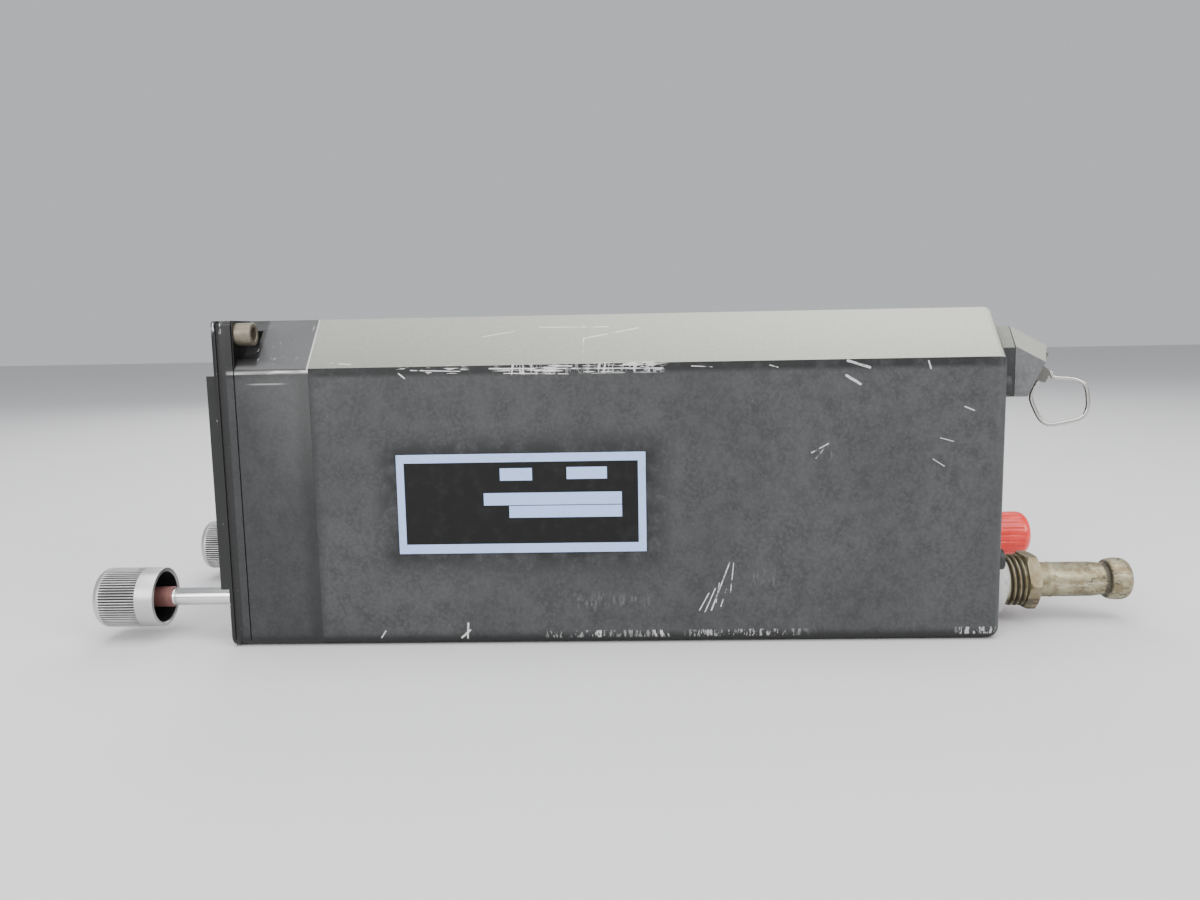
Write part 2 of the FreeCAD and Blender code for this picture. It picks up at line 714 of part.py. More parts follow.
def tooth_gap(sketch, teeth, module, root_share=1.25, tip_share=1.2):
    """Gap between two teeth at the top of a gear, narrow at the root and wide at the tip."""
    pitch_radius = f"({teeth} / 2 * {module})"
    root = f"({pitch_radius} - {root_share} * {module})"
    tip = f"({pitch_radius} + {tip_share} * {module})"
    polygon(sketch, [(f"-0.58 * {module}", root), (f"0.58 * {module}", root),
                     (f"1.38 * {module}", tip), (f"-1.38 * {module}", tip)])


def gear(label, teeth, start, end, bore, module=gear_module, hub=None, hub_end=None):
    """Spur gear on the Y axis with a gap between teeth at the top."""
    body = new_body(label)
    blank = front_sketch(body, "blank", start)
    circle(blank, f"({teeth} / 2 + 1) * {module}")
    pad(body, blank, f"({end}) - ({start})")
    gap = front_sketch(body, "gap", start)
    tooth_gap(gap, teeth, module)
    cut = pocket(body, gap)
    around(body, cut, gap, teeth)
    if hub is not None:
        hub_sketch = front_sketch(body, "hub", start)
        circle(hub_sketch, hub)
        pad(body, hub_sketch, f"({hub_end}) - ({start})")
    if bore is not None:
        bore_sketch = front_sketch(body, "bore", start)
        circle(bore_sketch, bore)
        pocket(body, bore_sketch)
    return body


# Card and its drum: the annular compass card, the web behind it and the tube it turns on
def make_card():
    disc("compass_card", card_radius, card_y, drum_y,
         [(f"{course_disc_radius} + {seat_gap}", "0", "0")])
    body = new_body("card_drum")
    web = front_sketch(body, "web", drum_y)
    circle(web, f"{card_radius} - 0.4")
    pad(body, web, drum_web)
    tube = front_sketch(body, "tube", drum_y)
    circle(tube, drum_radius)
    pad(body, tube, f"{drum_end} - {drum_y}")
    bore = front_sketch(body, "bore", drum_y)
    circle(bore, f"{course_tube_radius} + {running_clearance}")
    pocket(body, bore)
    card_gear = gear("card_gear", card_teeth, card_gear_y, f"{card_gear_y} + {gear_thickness}",
                     drum_radius)
    lighten(card_gear, card_gear_y, "15.5", "4.4", 6)
    place(card_gear, axis=(0, 1, 0), angle=f"-180 / {card_teeth}")


def lighten(body, start, circle_radius, hole_radius, count):
    """Round lightening holes through a gear's web."""
    sketch = front_sketch(body, "lightening", start)
    circle(sketch, hole_radius, "0", circle_radius)
    hole = pocket(body, sketch)
    around(body, hole, sketch, count)


knob_direction = f"atan2({knob_z}; {knob_x})"


# Heading bug: tab over the card's rim, carried by a large ring gear behind the card
def make_bug():
    ring = gear("bug_gear", ring_teeth, bug_gear_y, f"{bug_gear_y} + {gear_thickness}",
                f"{drum_radius} + {running_clearance}", hub=f"{drum_radius} + 2.2",
                hub_end=f"{gear_plate_y} - {gear_gap}")
    lighten(ring, bug_gear_y, "20", "7.2", 8)
    place(ring, axis=(0, 1, 0), angle=f"90 deg - {knob_direction} - 180 deg / {ring_teeth}")
    body = new_body("heading_bug")
    arm_inner = f"{card_radius} + {seat_gap}"
    arm_outer = f"{card_radius} + {seat_gap} + 0.6"
    arm = arc_band(body, "arm", bug_y, "1", arm_inner, arm_outer, "0", "4.5")
    pad(body, arm, f"{bug_gear_y} - {bug_y}")
    tab = front_sketch(body, "tab", bug_y)
    low = f"{card_radius} - 2.4"
    high = f"{card_radius} + {seat_gap} + 0.2"
    polygon(tab, [("-2.1", low), ("-0.9", low), ("0", f"{card_radius} - 1"), ("0.9", low),
                  ("2.1", low), ("2.1", high), ("-2.1", high)])
    pad(body, tab, layer)
    return body


# Course disc with its tube, arrow in two halves, gear at the back of the tube
def make_course():
    body = new_body("course_disc")
    face = front_sketch(body, "face", disc_y)
    circle(face, course_disc_radius)
    pad(body, face, f"{drum_y} - {seat_gap} - {disc_y}")
    tube = front_sketch(body, "tube", disc_y)
    circle(tube, course_tube_radius)
    pad(body, tube, f"{course_gear_y} + {gear_thickness} + {gear_gap} - {disc_y}")
    bore = front_sketch(body, "bore", f"{drum_y} - {seat_gap}")
    circle(bore, f"{spindle_radius} + {running_clearance}")
    pocket(body, bore)
    arrow = new_body("course_arrow")
    sketch = front_sketch(arrow, "head", f"{disc_y} - {layer}")
    reach = f"{course_disc_radius} - 0.8"
    polygon(sketch, [("-0.7", "10.2"), ("0.7", "10.2"), ("0.7", f"{reach} - 3"),
                     ("2.6", f"{reach} - 3"), ("0", reach), ("-2.6", f"{reach} - 3"),
                     ("-0.7", f"{reach} - 3")])
    pad(arrow, sketch, layer)
    tail = front_sketch(arrow, "tail", f"{disc_y} - {layer}")
    rectangle(tail, "-0.7", f"-({reach})", "0.7", "-10.2")
    pad(arrow, tail, layer)
    course = gear("course_gear", course_teeth, course_gear_y, f"{course_gear_y} + {gear_thickness}",
                  course_tube_radius)
    place(course, axis=(0, 1, 0), angle=f"270 deg + {knob_direction} - 180 deg / {course_teeth}")
    idler = gear("course_idler", course_teeth, course_gear_y, f"{course_gear_y} + {gear_thickness}",
                 f"{spindle_radius} + {running_clearance}")
    lighten(idler, course_gear_y, "7", "2.6", 5)
    place(idler, f"-{knob_x} * {knob_gear_fraction}", "0", f"{knob_z} * {knob_gear_fraction}",
          (0, 1, 0), f"90 deg + {knob_direction}")


def make_deviation_bar():
    body = new_body("deviation_bar")
    sketch = front_sketch(body, "bar", f"{disc_y} - {seat_gap} - {layer}")
    rectangle(sketch, "-0.6", "-9.6", "0.6", "9.6")
    pad(body, sketch, layer)
    return body


# Fixed plates of the mechanism: bearing plate in the casting, rear plate with spindle and pillars
def make_plates():
    body = new_body("gear_plate")
    face = front_sketch(body, "face", gear_plate_y)
    circle(face, plate_radius)
    pad(body, face, plate_thickness)
    for name, (x, z) in zip(("right_ear", "left_ear"), knob_places):
        ear = front_sketch(body, name, gear_plate_y)
        circle(ear, f"{pinion_pocket_radius} - {ear_clearance}", x, z)
        pad(body, ear, plate_thickness)
    holes = front_sketch(body, "holes", gear_plate_y)
    circle(holes, bearing_radius)
    circle(holes, f"{spindle_radius} + {running_clearance}", "0", azimuth_z)
    for x, z in knob_places:
        circle(holes, f"{shaft_radius} + {running_clearance}", x, z)
    pocket(body, holes)
    disc("card_bearing", bearing_radius, f"{gear_plate_y} - {layer}", f"{gear_plate_end} + {layer}",
         [(f"{drum_radius} + {running_clearance}", "0", "0")])
    rear = new_body("rear_gear_plate")
    face = front_sketch(rear, "face", rear_plate_y)
    circle(face, rear_plate_radius)
    pad(rear, face, plate_thickness)
    ear = front_sketch(rear, "ear", rear_plate_y)
    circle(ear, f"{pinion_pocket_radius} - {rear_ear_clearance}", f"-{knob_x}", knob_z)
    pad(rear, ear, plate_thickness)
    pillars = front_sketch(rear, "pillars", gear_plate_end)
    for angle in (50, -50, 95, -95):
        circle(pillars, pillar_radius, f"{pillar_circle} * sin({angle})",
               f"{pillar_circle} * cos({angle})")
    pad(rear, pillars, f"{rear_plate_y} - {gear_plate_end}")
    spindle = front_sketch(rear, "spindle", f"{drum_y}")
    circle(spindle, spindle_radius)
    pad(rear, spindle, f"{rear_plate_y} - {drum_y}")
    post = front_sketch(rear, "idler_post", f"{course_gear_y} - {gear_gap}")
    circle(post, spindle_radius, f"-{knob_x} * {knob_gear_fraction}", f"{knob_z} * {knob_gear_fraction}")
    pad(rear, post, f"{rear_plate_y} - {course_gear_y} + {gear_gap}")
    holes = front_sketch(rear, "holes", rear_plate_y)
    circle(holes, f"{spindle_radius} + {running_clearance}", "0", azimuth_z)
    circle(holes, f"{shaft_radius} + {running_clearance}", f"-{knob_x}", knob_z)
    pocket(rear, holes)


# Azimuth shaft: carries the gyro's heading to the card gear
def make_azimuth_shaft():
    rear_face = f"({gyro_y} - {crown_radius} + {crown_face} / 2)"
    body = gear("azimuth_shaft", crown_pinion_teeth, f"{rear_face} - {crown_face}", rear_face, None,
                crown_module)
    shaft = front_sketch(body, "shaft", f"{gear_plate_y} + {seat_gap}")
    circle(shaft, spindle_radius)
    pad(body, shaft, f"{rear_face} - {gear_plate_y} - {seat_gap}")
    place(body, "0", "0", azimuth_z, (0, 1, 0), f"180 - 180 / {crown_pinion_teeth}")
    pinion = gear("azimuth_pinion", azimuth_teeth, card_gear_y, f"{card_gear_y} + {gear_thickness}",
                  spindle_radius)
    place(pinion, "0", "0", azimuth_z, (0, 1, 0), "180")


# Crown wheel with teeth standing up, on the upper pivot of the outer gimbal
def make_crown():
    body = new_body("azimuth_crown")
    top = f"({crown_pitch_z} + 0.9 * {crown_module})"
    floor = crown_floor
    inner = f"({crown_radius} - {crown_face} / 2)"
    outer = f"({crown_radius} + {crown_face} / 2)"
    section = sketch_on(body, "XZ_Plane", "section")
    polygon(section, [(pivot_radius, outer_ring_top), (outer, outer_ring_top), (outer, top),
                      (inner, top), (inner, floor), (pivot_radius, floor)])
    revolve(body, section)
    gap = front_sketch(body, "gap", f"-({outer} + 0.5)")
    polygon(gap, [(f"-0.66 * {crown_module}", floor), (f"0.66 * {crown_module}", floor),
                  (f"1.42 * {crown_module}", f"{top} + 0.2"), (f"-1.42 * {crown_module}", f"{top} + 0.2")])
    cut = pocket(body, gap, f"{outer} - {inner} + 1")
    turn = sketch_on(body, "XY_Plane", "turn_axis")
    circle(turn, "1")
    around(body, cut, turn, crown_teeth)
    place(body, "0", gyro_y, "0")
    return body


# Outer gimbal: upright ring on two vertical pivots
def make_outer_gimbal():
    body = new_body("outer_gimbal")
    ring = sketch_on(body, "XZ_Plane", "ring")
    circle(ring, outer_ring_radius)
    circle(ring, f"{outer_ring_radius} - {outer_ring_wall}")
    centred_pad(body, ring, outer_ring_width)
    for name, start, end in (("upper_pivot", f"{outer_ring_radius} - 0.5",
                              f"{sleeve_inner} - {frame_margin} - {gyro_z} - 0.4"),
                             ("lower_pivot", f"-({outer_ring_radius} - 0.5)",
                              f"-({sleeve_inner} - {frame_margin} + {gyro_z} - 0.4)")):
        pivot = sketch_on(body, "XY_Plane", name, start)
        circle(pivot, pivot_radius)
        length = f"abs(({end}) - ({start}))"
        pad(body, pivot, length, name == "lower_pivot")
    bores = sketch_on(body, "YZ_Plane", "cross_bores")
    circle(bores, f"{axle_radius} + {running_clearance}")
    pocket(body, bores, None, True)
    place(body, "0", gyro_y, gyro_z)
    return body


# Inner gimbal: level ring on two horizontal pivots, with bearings for the rotor axle
def make_inner_gimbal():
    body = new_body("inner_gimbal")
    ring = sketch_on(body, "XY_Plane", "ring")
    circle(ring, inner_ring_radius)
    circle(ring, f"{inner_ring_radius} - {inner_ring_wall}")
    centred_pad(body, ring, inner_ring_width)
    for name, side in (("right_pivot", 1), ("left_pivot", -1)):
        pivot = sketch_on(body, "YZ_Plane", name, f"{side} * ({inner_ring_radius} - 0.5)")
        circle(pivot, axle_radius)
        pad(body, pivot, f"{outer_ring_radius} - {inner_ring_radius}", side < 0)
    bores = sketch_on(body, "XZ_Plane", "axle_bores")
    circle(bores, f"{axle_radius} + {running_clearance}")
    pocket(body, bores, None, True)
    place(body, "0", gyro_y, gyro_z)
    return body


# Rotor: heavy-rimmed wheel with air buckets cut in its rim
def make_rotor():
    body = new_body("gyro_rotor")
    wheel = sketch_on(body, "XZ_Plane", "wheel")
    circle(wheel, rotor_radius)
    centred_pad(body, wheel, rotor_width)
    for side in (1, -1):
        dish = front_sketch(body, "dish", f"{side} * {rotor_width} / 2")
        circle(dish, f"{rotor_radius} * 0.68")
        circle(dish, f"{axle_radius} * 2.6")
        cut = body.newObject("PartDesign::Pocket", "dish_cut")
        cut.Profile = dish
        cut.setExpression("Length", f"{rotor_width} * 0.3")
        cut.Reversed = side > 0
    axle = sketch_on(body, "XZ_Plane", "axle")
    circle(axle, axle_radius)
    centred_pad(body, axle, f"2 * ({inner_ring_radius} - {seat_gap})")
    bucket = sketch_on(body, "XZ_Plane", "bucket")
    polygon(bucket, [("-1", f"{rotor_radius} - 1.6"), ("0.4", f"{rotor_radius} - 1.6"),
                     ("1", f"{rotor_radius} + 0.5"), ("-1", f"{rotor_radius} + 0.5")])
    doc.recompute()
    cut = body.newObject("PartDesign::Pocket", "bucket_cut")
    cut.Profile = bucket
    cut.Midplane = True
    cut.setExpression("Length", f"{rotor_width} * 0.5")
    around(body, cut, bucket, bucket_count)
    place(body, "0", gyro_y, gyro_z)
    return body


# Chassis: four rods from the casting to the rear wall, gyro frame and bulkhead on them
def make_chassis():
    rods = [cylinder_along_y(f"rod_{i}", rod_radius, seam_y, rear_wall_y, x, z)
            for i, (x, z) in enumerate(rod_places)]
    group("chassis_rods", rods)
    body = new_body("gyro_frame")
    outline = front_sketch(body, "outline", f"{gyro_y} - {frame_depth} / 2")
    inset = f"({sleeve_wall} + {frame_margin})"
    polygon(outline, case_outline(inset))
    side = f"({half_width} - {inset} - {frame_bar})"
    top = f"({half_width} - {inset} - {frame_top_bar} + 1)"
    gusset = f"(sqrt(2) * ({outer_ring_radius} + 0.8) - {gyro_z})"
    bottom = f"({top})"
    polygon(outline, [(side, f"-({gusset} - {side})"), (side, f"{top} - 8.6"), (f"{side} - 8.6", top),
                      (f"-({side} - 8.6)", top), (f"-{side}", f"{top} - 8.6"),
                      (f"-{side}", f"-({gusset} - {side})"), (f"-({gusset} - {bottom})", f"-{bottom}"),
                      (f"{gusset} - {bottom}", f"-{bottom}")])
    for x, z in rod_places:
        circle(outline, f"{rod_radius} + {running_clearance}", x, z)
    pad(body, outline, frame_depth)
    pivots = sketch_on(body, "XY_Plane", "pivot_bores")
    circle(pivots, f"{pivot_radius} + {running_clearance}", "0", gyro_y)
    pocket(body, pivots, None, True)
    plate = new_body("bulkhead")
    outline = front_sketch(plate, "outline", bulkhead_y)
    polygon(outline, case_outline(f"{sleeve_wall} + {seat_gap}"))
    for x, z in rod_places:
        circle(outline, f"{rod_radius} + {running_clearance}", x, z)
    circle(outline, f"{tube_radius} + {running_clearance}", port_x, hose_z)
    pad(plate, outline, plate_thickness)
    disc("air_tube", tube_radius, f"{gyro_y} + {frame_depth} / 2", rear_wall_y,
         [(f"{tube_radius} - {tube_wall}", port_x, hose_z)], port_x, hose_z)


# Circuit board between the bulkhead and the rear wall, with its tall components
def make_board():
    body = new_body("circuit_board")
    start = f"({bulkhead_y} + {plate_thickness})"
    sheet = sketch_on(body, "XY_Plane", "sheet", board_z)
    board_half = f"({half_width} - {board_margin})"
    rectangle(sheet, f"-{board_half}", start, board_half, f"{rear_wall_y} - {seat_gap}")
    pad(body, sheet, board_thickness, False)
    parts = sketch_on(body, "XY_Plane", "components", f"{board_z} + {board_thickness}")
    for step in (-1, 0, 1):
        circle(parts, capacitor_radius, f"{step} * {capacitor_pitch}", f"{start} + {capacitor_y}")
    transformer_y = f"({start} + 2 * {capacitor_y})"
    rectangle(parts, f"-1.5 * {capacitor_pitch}", transformer_y, f"-0.25 * {capacitor_pitch}",
              f"{transformer_y} + 1.5 * {capacitor_y}")
    rectangle(parts, f"0.25 * {capacitor_pitch}", transformer_y, f"1.5 * {capacitor_pitch}",
              f"{transformer_y} + 0.7 * {capacitor_y}")
    pad(body, parts, component_height, False)
    return body


# Sleeve: deep box with the case outline, closed at the back, with port bosses
def make_sleeve():
    body = new_body("sleeve")
    outline = front_sketch(body, "outline", seam_y)
    polygon(outline, case_outline("0"))
    pad(body, outline, f"{case_length} - {seam_y}")
    fillet(body, bottom_radius, bottom_corner)
    rear = value(case_length) - 0.01
    fillet(body, rear_radius, lambda edge: edge.BoundBox.YMin > rear)
    inside = front_sketch(body, "inside", seam_y)
    polygon(inside, case_outline(sleeve_wall))
    pocket(body, inside, f"{rear_wall_y} - {seam_y}")
    bosses = front_sketch(body, "port_bosses", f"{case_length} - 0.5")
    for x, z in ((port_x, hose_z), (f"-{port_x}", cap_z)):
        circle(bosses, port_boss_radius, x, z)
    pad(body, bosses, f"{port_boss_height} + 0.5")
    holes = front_sketch(body, "rear_holes", seam_y)
    circle(holes, f"{thread_radius} + {running_clearance}", port_x, hose_z)
    circle(holes, f"{stub_radius} + {running_clearance}", f"-{port_x}", cap_z)
    for x, z in rod_places:
        circle(holes, f"{bezel_head_radius}", x, z)
    pocket(body, holes)
    socket = front_sketch(body, "connector_opening", seam_y)
    rectangle(socket, f"-({socket_length} / 2 + 2)", f"{hood_bottom_z} + {hood_wall}",
              f"{socket_length} / 2 + 2", f"{hood_top_z} - 5")
    pocket(body, socket)
    return body


def make_sleeve_screws():
    members = []
    for index, (x, z) in enumerate(rod_places):
        head = cylinder_along_y(f"sleeve_head_{index}", f"{bezel_head_radius} + 0.9", case_length,
                                f"{case_length} + 1.8", x, z)
        thread = cylinder_along_y(f"sleeve_thread_{index}", f"{bezel_head_radius} - {running_clearance}",
                                  rear_wall_y, case_length, x, z)
        screw = doc.addObject("Part::Fuse", f"sleeve_screw_{index}")
        screw.Base = head
        screw.Tool = thread
        members.append(screw)
    return group("sleeve_screws", members)


def make_data_plate():
    body = new_body("data_plate")
    sketch = sketch_on(body, "YZ_Plane", "outline", half_width)
    low = f"{data_plate_z} - {data_plate_height} / 2"
    high = f"{data_plate_z} + {data_plate_height} / 2"
    rectangle(sketch, data_plate_y, low, f"{data_plate_y} + {data_plate_length}", high)
    pad(body, sketch, data_plate_thickness, False)
    return body


# Connector housing: base strip, then a hood whose top slopes down and whose face looks down
def make_hood():
    base = new_body("hood_base")
    strip = front_sketch(base, "strip", case_length)
    cut = f"{hood_chamfer}"
    top = f"({hood_top_z} - {hood_base_depth} * tan({hood_slope_angle}))"
    polygon(strip, [(f"-{hood_half_width}", hood_bottom_z), (hood_half_width, hood_bottom_z),
                    (hood_half_width, f"{top} - 1.2 * {cut}"), (f"{hood_half_width} - {cut}", top),
                    (f"-({hood_half_width} - {cut})", top),
                    (f"-{hood_half_width}", f"{top} - 1.2 * {cut}")])
    rectangle(strip, f"-({socket_length} / 2 + 2)", f"{hood_bottom_z} + {hood_wall}",
              f"{socket_length} / 2 + 2", f"{hood_top_z} - 5")
    pad(base, strip, hood_base_depth)
    body = new_body("connector_hood")
    profile = sketch_on(body, "YZ_Plane", "profile")
    polygon(profile, [(hood_base_end, hood_bottom_z), (hood_foot_y, hood_bottom_z),
                      (hood_tip_y, hood_tip_z), (hood_base_end, top)])
    centred_pad(body, profile, f"2 * {hood_half_width}")
    reach = value(hood_half_width)
    base_y = value(hood_base_end) + 0.05

    def upper_side(edge):
        spot = middle(edge)
        slanted = edge.BoundBox.YLength > 3 and edge.BoundBox.ZLength > 1
        return abs(abs(spot.x) - reach) < 0.05 and slanted and spot.z > value(face_middle_z) + 2 \
            and spot.y > base_y

    fillet(body, hood_chamfer, upper_side, "PartDesign::Chamfer", "Size")
    inside = sketch_on(body, "YZ_Plane", "inside")
    wall = hood_wall
    polygon(inside, [(hood_base_end, f"{hood_bottom_z} + {wall}"),
                     (f"{hood_foot_y} - {wall} / cos({hood_face_angle}) + {wall} * tan({hood_face_angle})",
                      f"{hood_bottom_z} + {wall}"),
                     (f"{hood_tip_y} - 1.6 * {wall}", f"{hood_tip_z} - 0.9 * {wall}"),
                     (hood_base_end, f"{top} - 1.2 * {wall}")])
    pocket(body, inside, f"{socket_length} + 4", True)
    place_on_face = FreeCAD.Rotation(FreeCAD.Vector(1, 0, 0), -1)
    opening = doc.addObject("Part::Box", "hood_opening")
    opening.setExpression("Length", f"{socket_length} + 2 * {shell_wall} + 2 * {running_clearance}")
    opening.setExpression("Width", "12")
    opening.setExpression("Height", f"{socket_height} + 2 * {shell_wall} + 2 * {running_clearance}")
    opening.Placement = FreeCAD.Placement(FreeCAD.Vector(), place_on_face)
    nodes.remove(body)
    cut_hood = doc.addObject("Part::Cut", "connector_hood_cut")
    cut_hood.Base = body
    cut_hood.Tool = opening
    body.Label = "hood_shape"
    finished(cut_hood, "connector_hood")
    half_opening = f"({socket_length} / 2 + {shell_wall} + {running_clearance})"
    high = f"({socket_height} / 2 + {shell_wall} + {running_clearance})"
    opening.setExpression("Placement.Rotation.Angle", f"-{hood_face_angle}")
    opening.Placement.Rotation = FreeCAD.Rotation(FreeCAD.Vector(1, 0, 0), -value(hood_face_angle))
    opening.setExpression("Placement.Base.x", f"-{half_opening}")
    opening.setExpression("Placement.Base.y", on_face_y("-8", f"-{high}"))
    opening.setExpression("Placement.Base.z", on_face_z("-8", f"-{high}"))


def on_face_y(out, up):
    """Row y of a point given as a distance out of the slanted face and a distance up it."""
    return f"({face_middle_y} + ({out}) * cos({hood_face_angle}) + ({up}) * sin({hood_face_angle}))"


def on_face_z(out, up):
    return f"({face_middle_z} - ({out}) * sin({hood_face_angle}) + ({up}) * cos({hood_face_angle}))"


def place_on_slanted_face(item):
    """Local Y points out of the slanted face and local Z up along it."""
    item.Placement = FreeCAD.Placement(FreeCAD.Vector(), FreeCAD.Rotation(FreeCAD.Vector(-1, 0, 0), 1))
    item.setExpression("Placement.Rotation.Angle", hood_face_angle)
    item.setExpression("Placement.Base.y", face_middle_y)
    item.setExpression("Placement.Base.z", face_middle_z)
    return item


# Ribbon connector: metal shell with ears for the latches, moulded block, two rows of contacts
def make_connector():
    shell = new_body("connector_shell")
    tube = front_sketch(shell, "tube", f"-{socket_depth} - {shell_depth}")
    half = f"{socket_length} / 2"
    up = f"{socket_height} / 2"
    wall = shell_wall
    rectangle(tube, f"-({half} + {wall})", f"-({up} + {wall})", f"{half} + {wall}", f"{up} + {wall}")
    rectangle(tube, f"-({half})", f"-({up})", half, up)
    pad(shell, tube, f"{socket_depth} + {shell_depth}")
    flange = front_sketch(shell, "flange", "0")
    wide = f"({bail_x} + {ear_half_height})"
    rectangle(flange, f"-{wide}", f"-({up} + {wall})", wide, f"{up} + {wall}")
    rectangle(flange, f"-({half})", f"-({up})", half, up)
    pad(shell, flange, shell_flange)
    ears = front_sketch(shell, "ears", shell_flange)
    for side in (1, -1):
        rectangle(ears, f"{side} * {bail_x} - {ear_half_width}", f"-{ear_half_height}",
                  f"{side} * {bail_x} + {ear_half_width}", ear_half_height)
    pad(shell, ears, f"{bail_stand_off} + {bail_wire} - {shell_flange} + {seat_gap}")
    bores = sketch_on(shell, "XY_Plane", "bail_bores")
    for side in (1, -1):
        circle(bores, f"{bail_wire} / 2 + {running_clearance}", f"{side} * {bail_x}", bail_stand_off)
    pocket(shell, bores, None, True)
    place_on_slanted_face(shell)
    block = new_body("connector_block")
    back = front_sketch(block, "block", f"-{socket_depth} - {block_thickness}")
    block_half = f"({half} - 2 * {running_clearance})"
    block_up = f"({up} - 2 * {running_clearance})"
    rectangle(back, f"-{block_half}", f"-{block_up}", block_half, block_up)
    pad(block, back, block_thickness)
    slot = front_sketch(block, "slot", f"-{socket_depth} - {block_thickness}")
    slot_half = f"({contact_count} / 2 * {contact_pitch} + {contact_width} / 2)"
    rectangle(slot, f"-{slot_half}", f"-{slot_half_height}", slot_half, slot_half_height)
    pocket(block, slot)
    place_on_slanted_face(block)
    contacts = doc.addObject("Part::Feature", "contacts")
    finished(contacts, "connector_contacts")
    blades = []
    count = int(value(contact_count))
    width = value(contact_width)
    length = value(contact_length)
    thickness = value(contact_thickness)
    half_slot = value(slot_half_height)
    back = value(f"-{socket_depth} - 0.9 * {contact_length}")
    for low in (half_slot - thickness, -half_slot):
        for index in range(count):
            x = (index - (count - 1) / 2) * value(contact_pitch)
            blades.append(Part.makeBox(width, length, thickness, FreeCAD.Vector(x - width / 2, back, low)))
    contacts.Shape = Part.makeCompound(blades)
    place_on_slanted_face(contacts)


def rounded_wire(points, radius):
    """Open path of straight runs with an arc of the given radius at each inner corner."""
    edges = []
    start = points[0]
    for index in range(1, len(points) - 1):
        before = (points[index - 1] - points[index]).normalize()
        after = (points[index + 1] - points[index]).normalize()
        turn = before.getAngle(after)
        trim = radius / math.tan(turn / 2)
        entry = points[index] + before * trim
        leave = points[index] + after * trim
        centre = points[index] + (before + after).normalize() * (radius / math.sin(turn / 2))
        peak = centre + (points[index] - centre).normalize() * radius
        edges.append(Part.LineSegment(start, entry).toShape())
        edges.append(Part.Arc(entry, peak, leave).toShape())
        start = leave
    edges.append(Part.LineSegment(start, points[-1]).toShape())
    return Part.Wire(edges)


# Wire latch: a loop whose two ends turn inward into the ear
def make_bail(label, side):
    item = doc.addObject("Part::Feature", label)
    finished(item, label)
    wire_radius = value(bail_wire) / 2
    ear = value(ear_half_height)
    leg = ear + value(seat_gap) + wire_radius
    out = value(bail_stand_off)
    corners = [(0, ear - 0.9), (0, leg), (2.6, leg), (8.6, 6.0), (11.6, 5.7), (15.2, 0.6), (15.0, -2.2),
               (9.6, -6.6), (6.0, -6.8), (2.4, -leg), (0, -leg), (0, -(ear - 0.9))]
    x = side * value(bail_x)
    path = rounded_wire([FreeCAD.Vector(x, out + y, z) for y, z in corners], 0.75)
    ring = Part.Wire(Part.makeCircle(wire_radius, FreeCAD.Vector(x, out, ear - 0.9), FreeCAD.Vector(0, 0, 1)))
    item.Shape = path.makePipeShell([ring], True, True)
    place_on_slanted_face(item)
    return item


# Hose fitting: taper thread in the boss, hexagon, nipple with a rounded bead
def make_hose_fitting():
    body = new_body("hose_fitting")
    section = sketch_on(body, "XY_Plane", "section")
    bore = nipple_bore_radius
    inner_end = f"{case_length} - {rear_wall} + {seat_gap}"
    polygon(section, [(bore, inner_end), (f"{thread_radius} - 0.3", inner_end),
                      (f"{thread_radius}", f"{case_length} + 4"), (f"{thread_radius}", thread_end),
                      (nipple_radius, thread_end), (nipple_radius, bead_start),
                      (bead_radius, f"{bead_start} + 2.6"), (bead_radius, f"{bead_start} + 4.4"),
                      (f"{nipple_radius} - 0.7", nipple_end), (bore, nipple_end)])
    revolve(body, section)
    hexagon = front_sketch(body, "hexagon", thread_end)
    corner = f"({hex_flats} / sqrt(3))"
    polygon(hexagon, [(f"{corner} * cos({60 * i})", f"{corner} * sin({60 * i})") for i in range(6)])
    circle(hexagon, bore)
    pad(body, hexagon, hex_length)
    place(body, port_x, "0", hose_z)
    return body


# Second port: plain stub closed by a ribbed plastic cap
def make_capped_port():
    body = new_body("capped_fitting")
    stub = front_sketch(body, "stub", f"{rear_wall_y} + {seat_gap}")
    circle(stub, stub_radius)
    circle(stub, f"{stub_radius} - 2")
    pad(body, stub, f"{case_length} - {rear_wall_y} - {seat_gap} + {stub_length}")
    place(body, f"-{port_x}", "0", cap_z)
    cap = new_body("port_cap")
    outer = front_sketch(cap, "outer", f"{case_length} + {port_boss_height} + {seat_gap}")
    circle(outer, cap_radius)
    pad(cap, outer, f"{cap_end} - {case_length} - {port_boss_height} - {seat_gap}")
    end = value(cap_end) - 0.01
    fillet(cap, "2.4", lambda edge: edge.BoundBox.YMin > end)
    inside = front_sketch(cap, "inside", f"{case_length} + {port_boss_height}")
    circle(inside, f"{stub_radius} + {running_clearance}")
    pocket(cap, inside, f"{stub_length} - {port_boss_height} + 1")
    rib = front_sketch(cap, "rib_gap", case_length)
    polygon(rib, [("-0.55", f"{cap_radius} - 0.35"), ("0.55", f"{cap_radius} - 0.35"),
                  ("0.75", f"{cap_radius} + 0.3"), ("-0.75", f"{cap_radius} + 0.3")])
    cut = pocket(cap, rib, f"{cap_end} - {case_length} - 3")
    around(cap, cut, rib, 18)
    place(cap, f"-{port_x}", "0", cap_z)


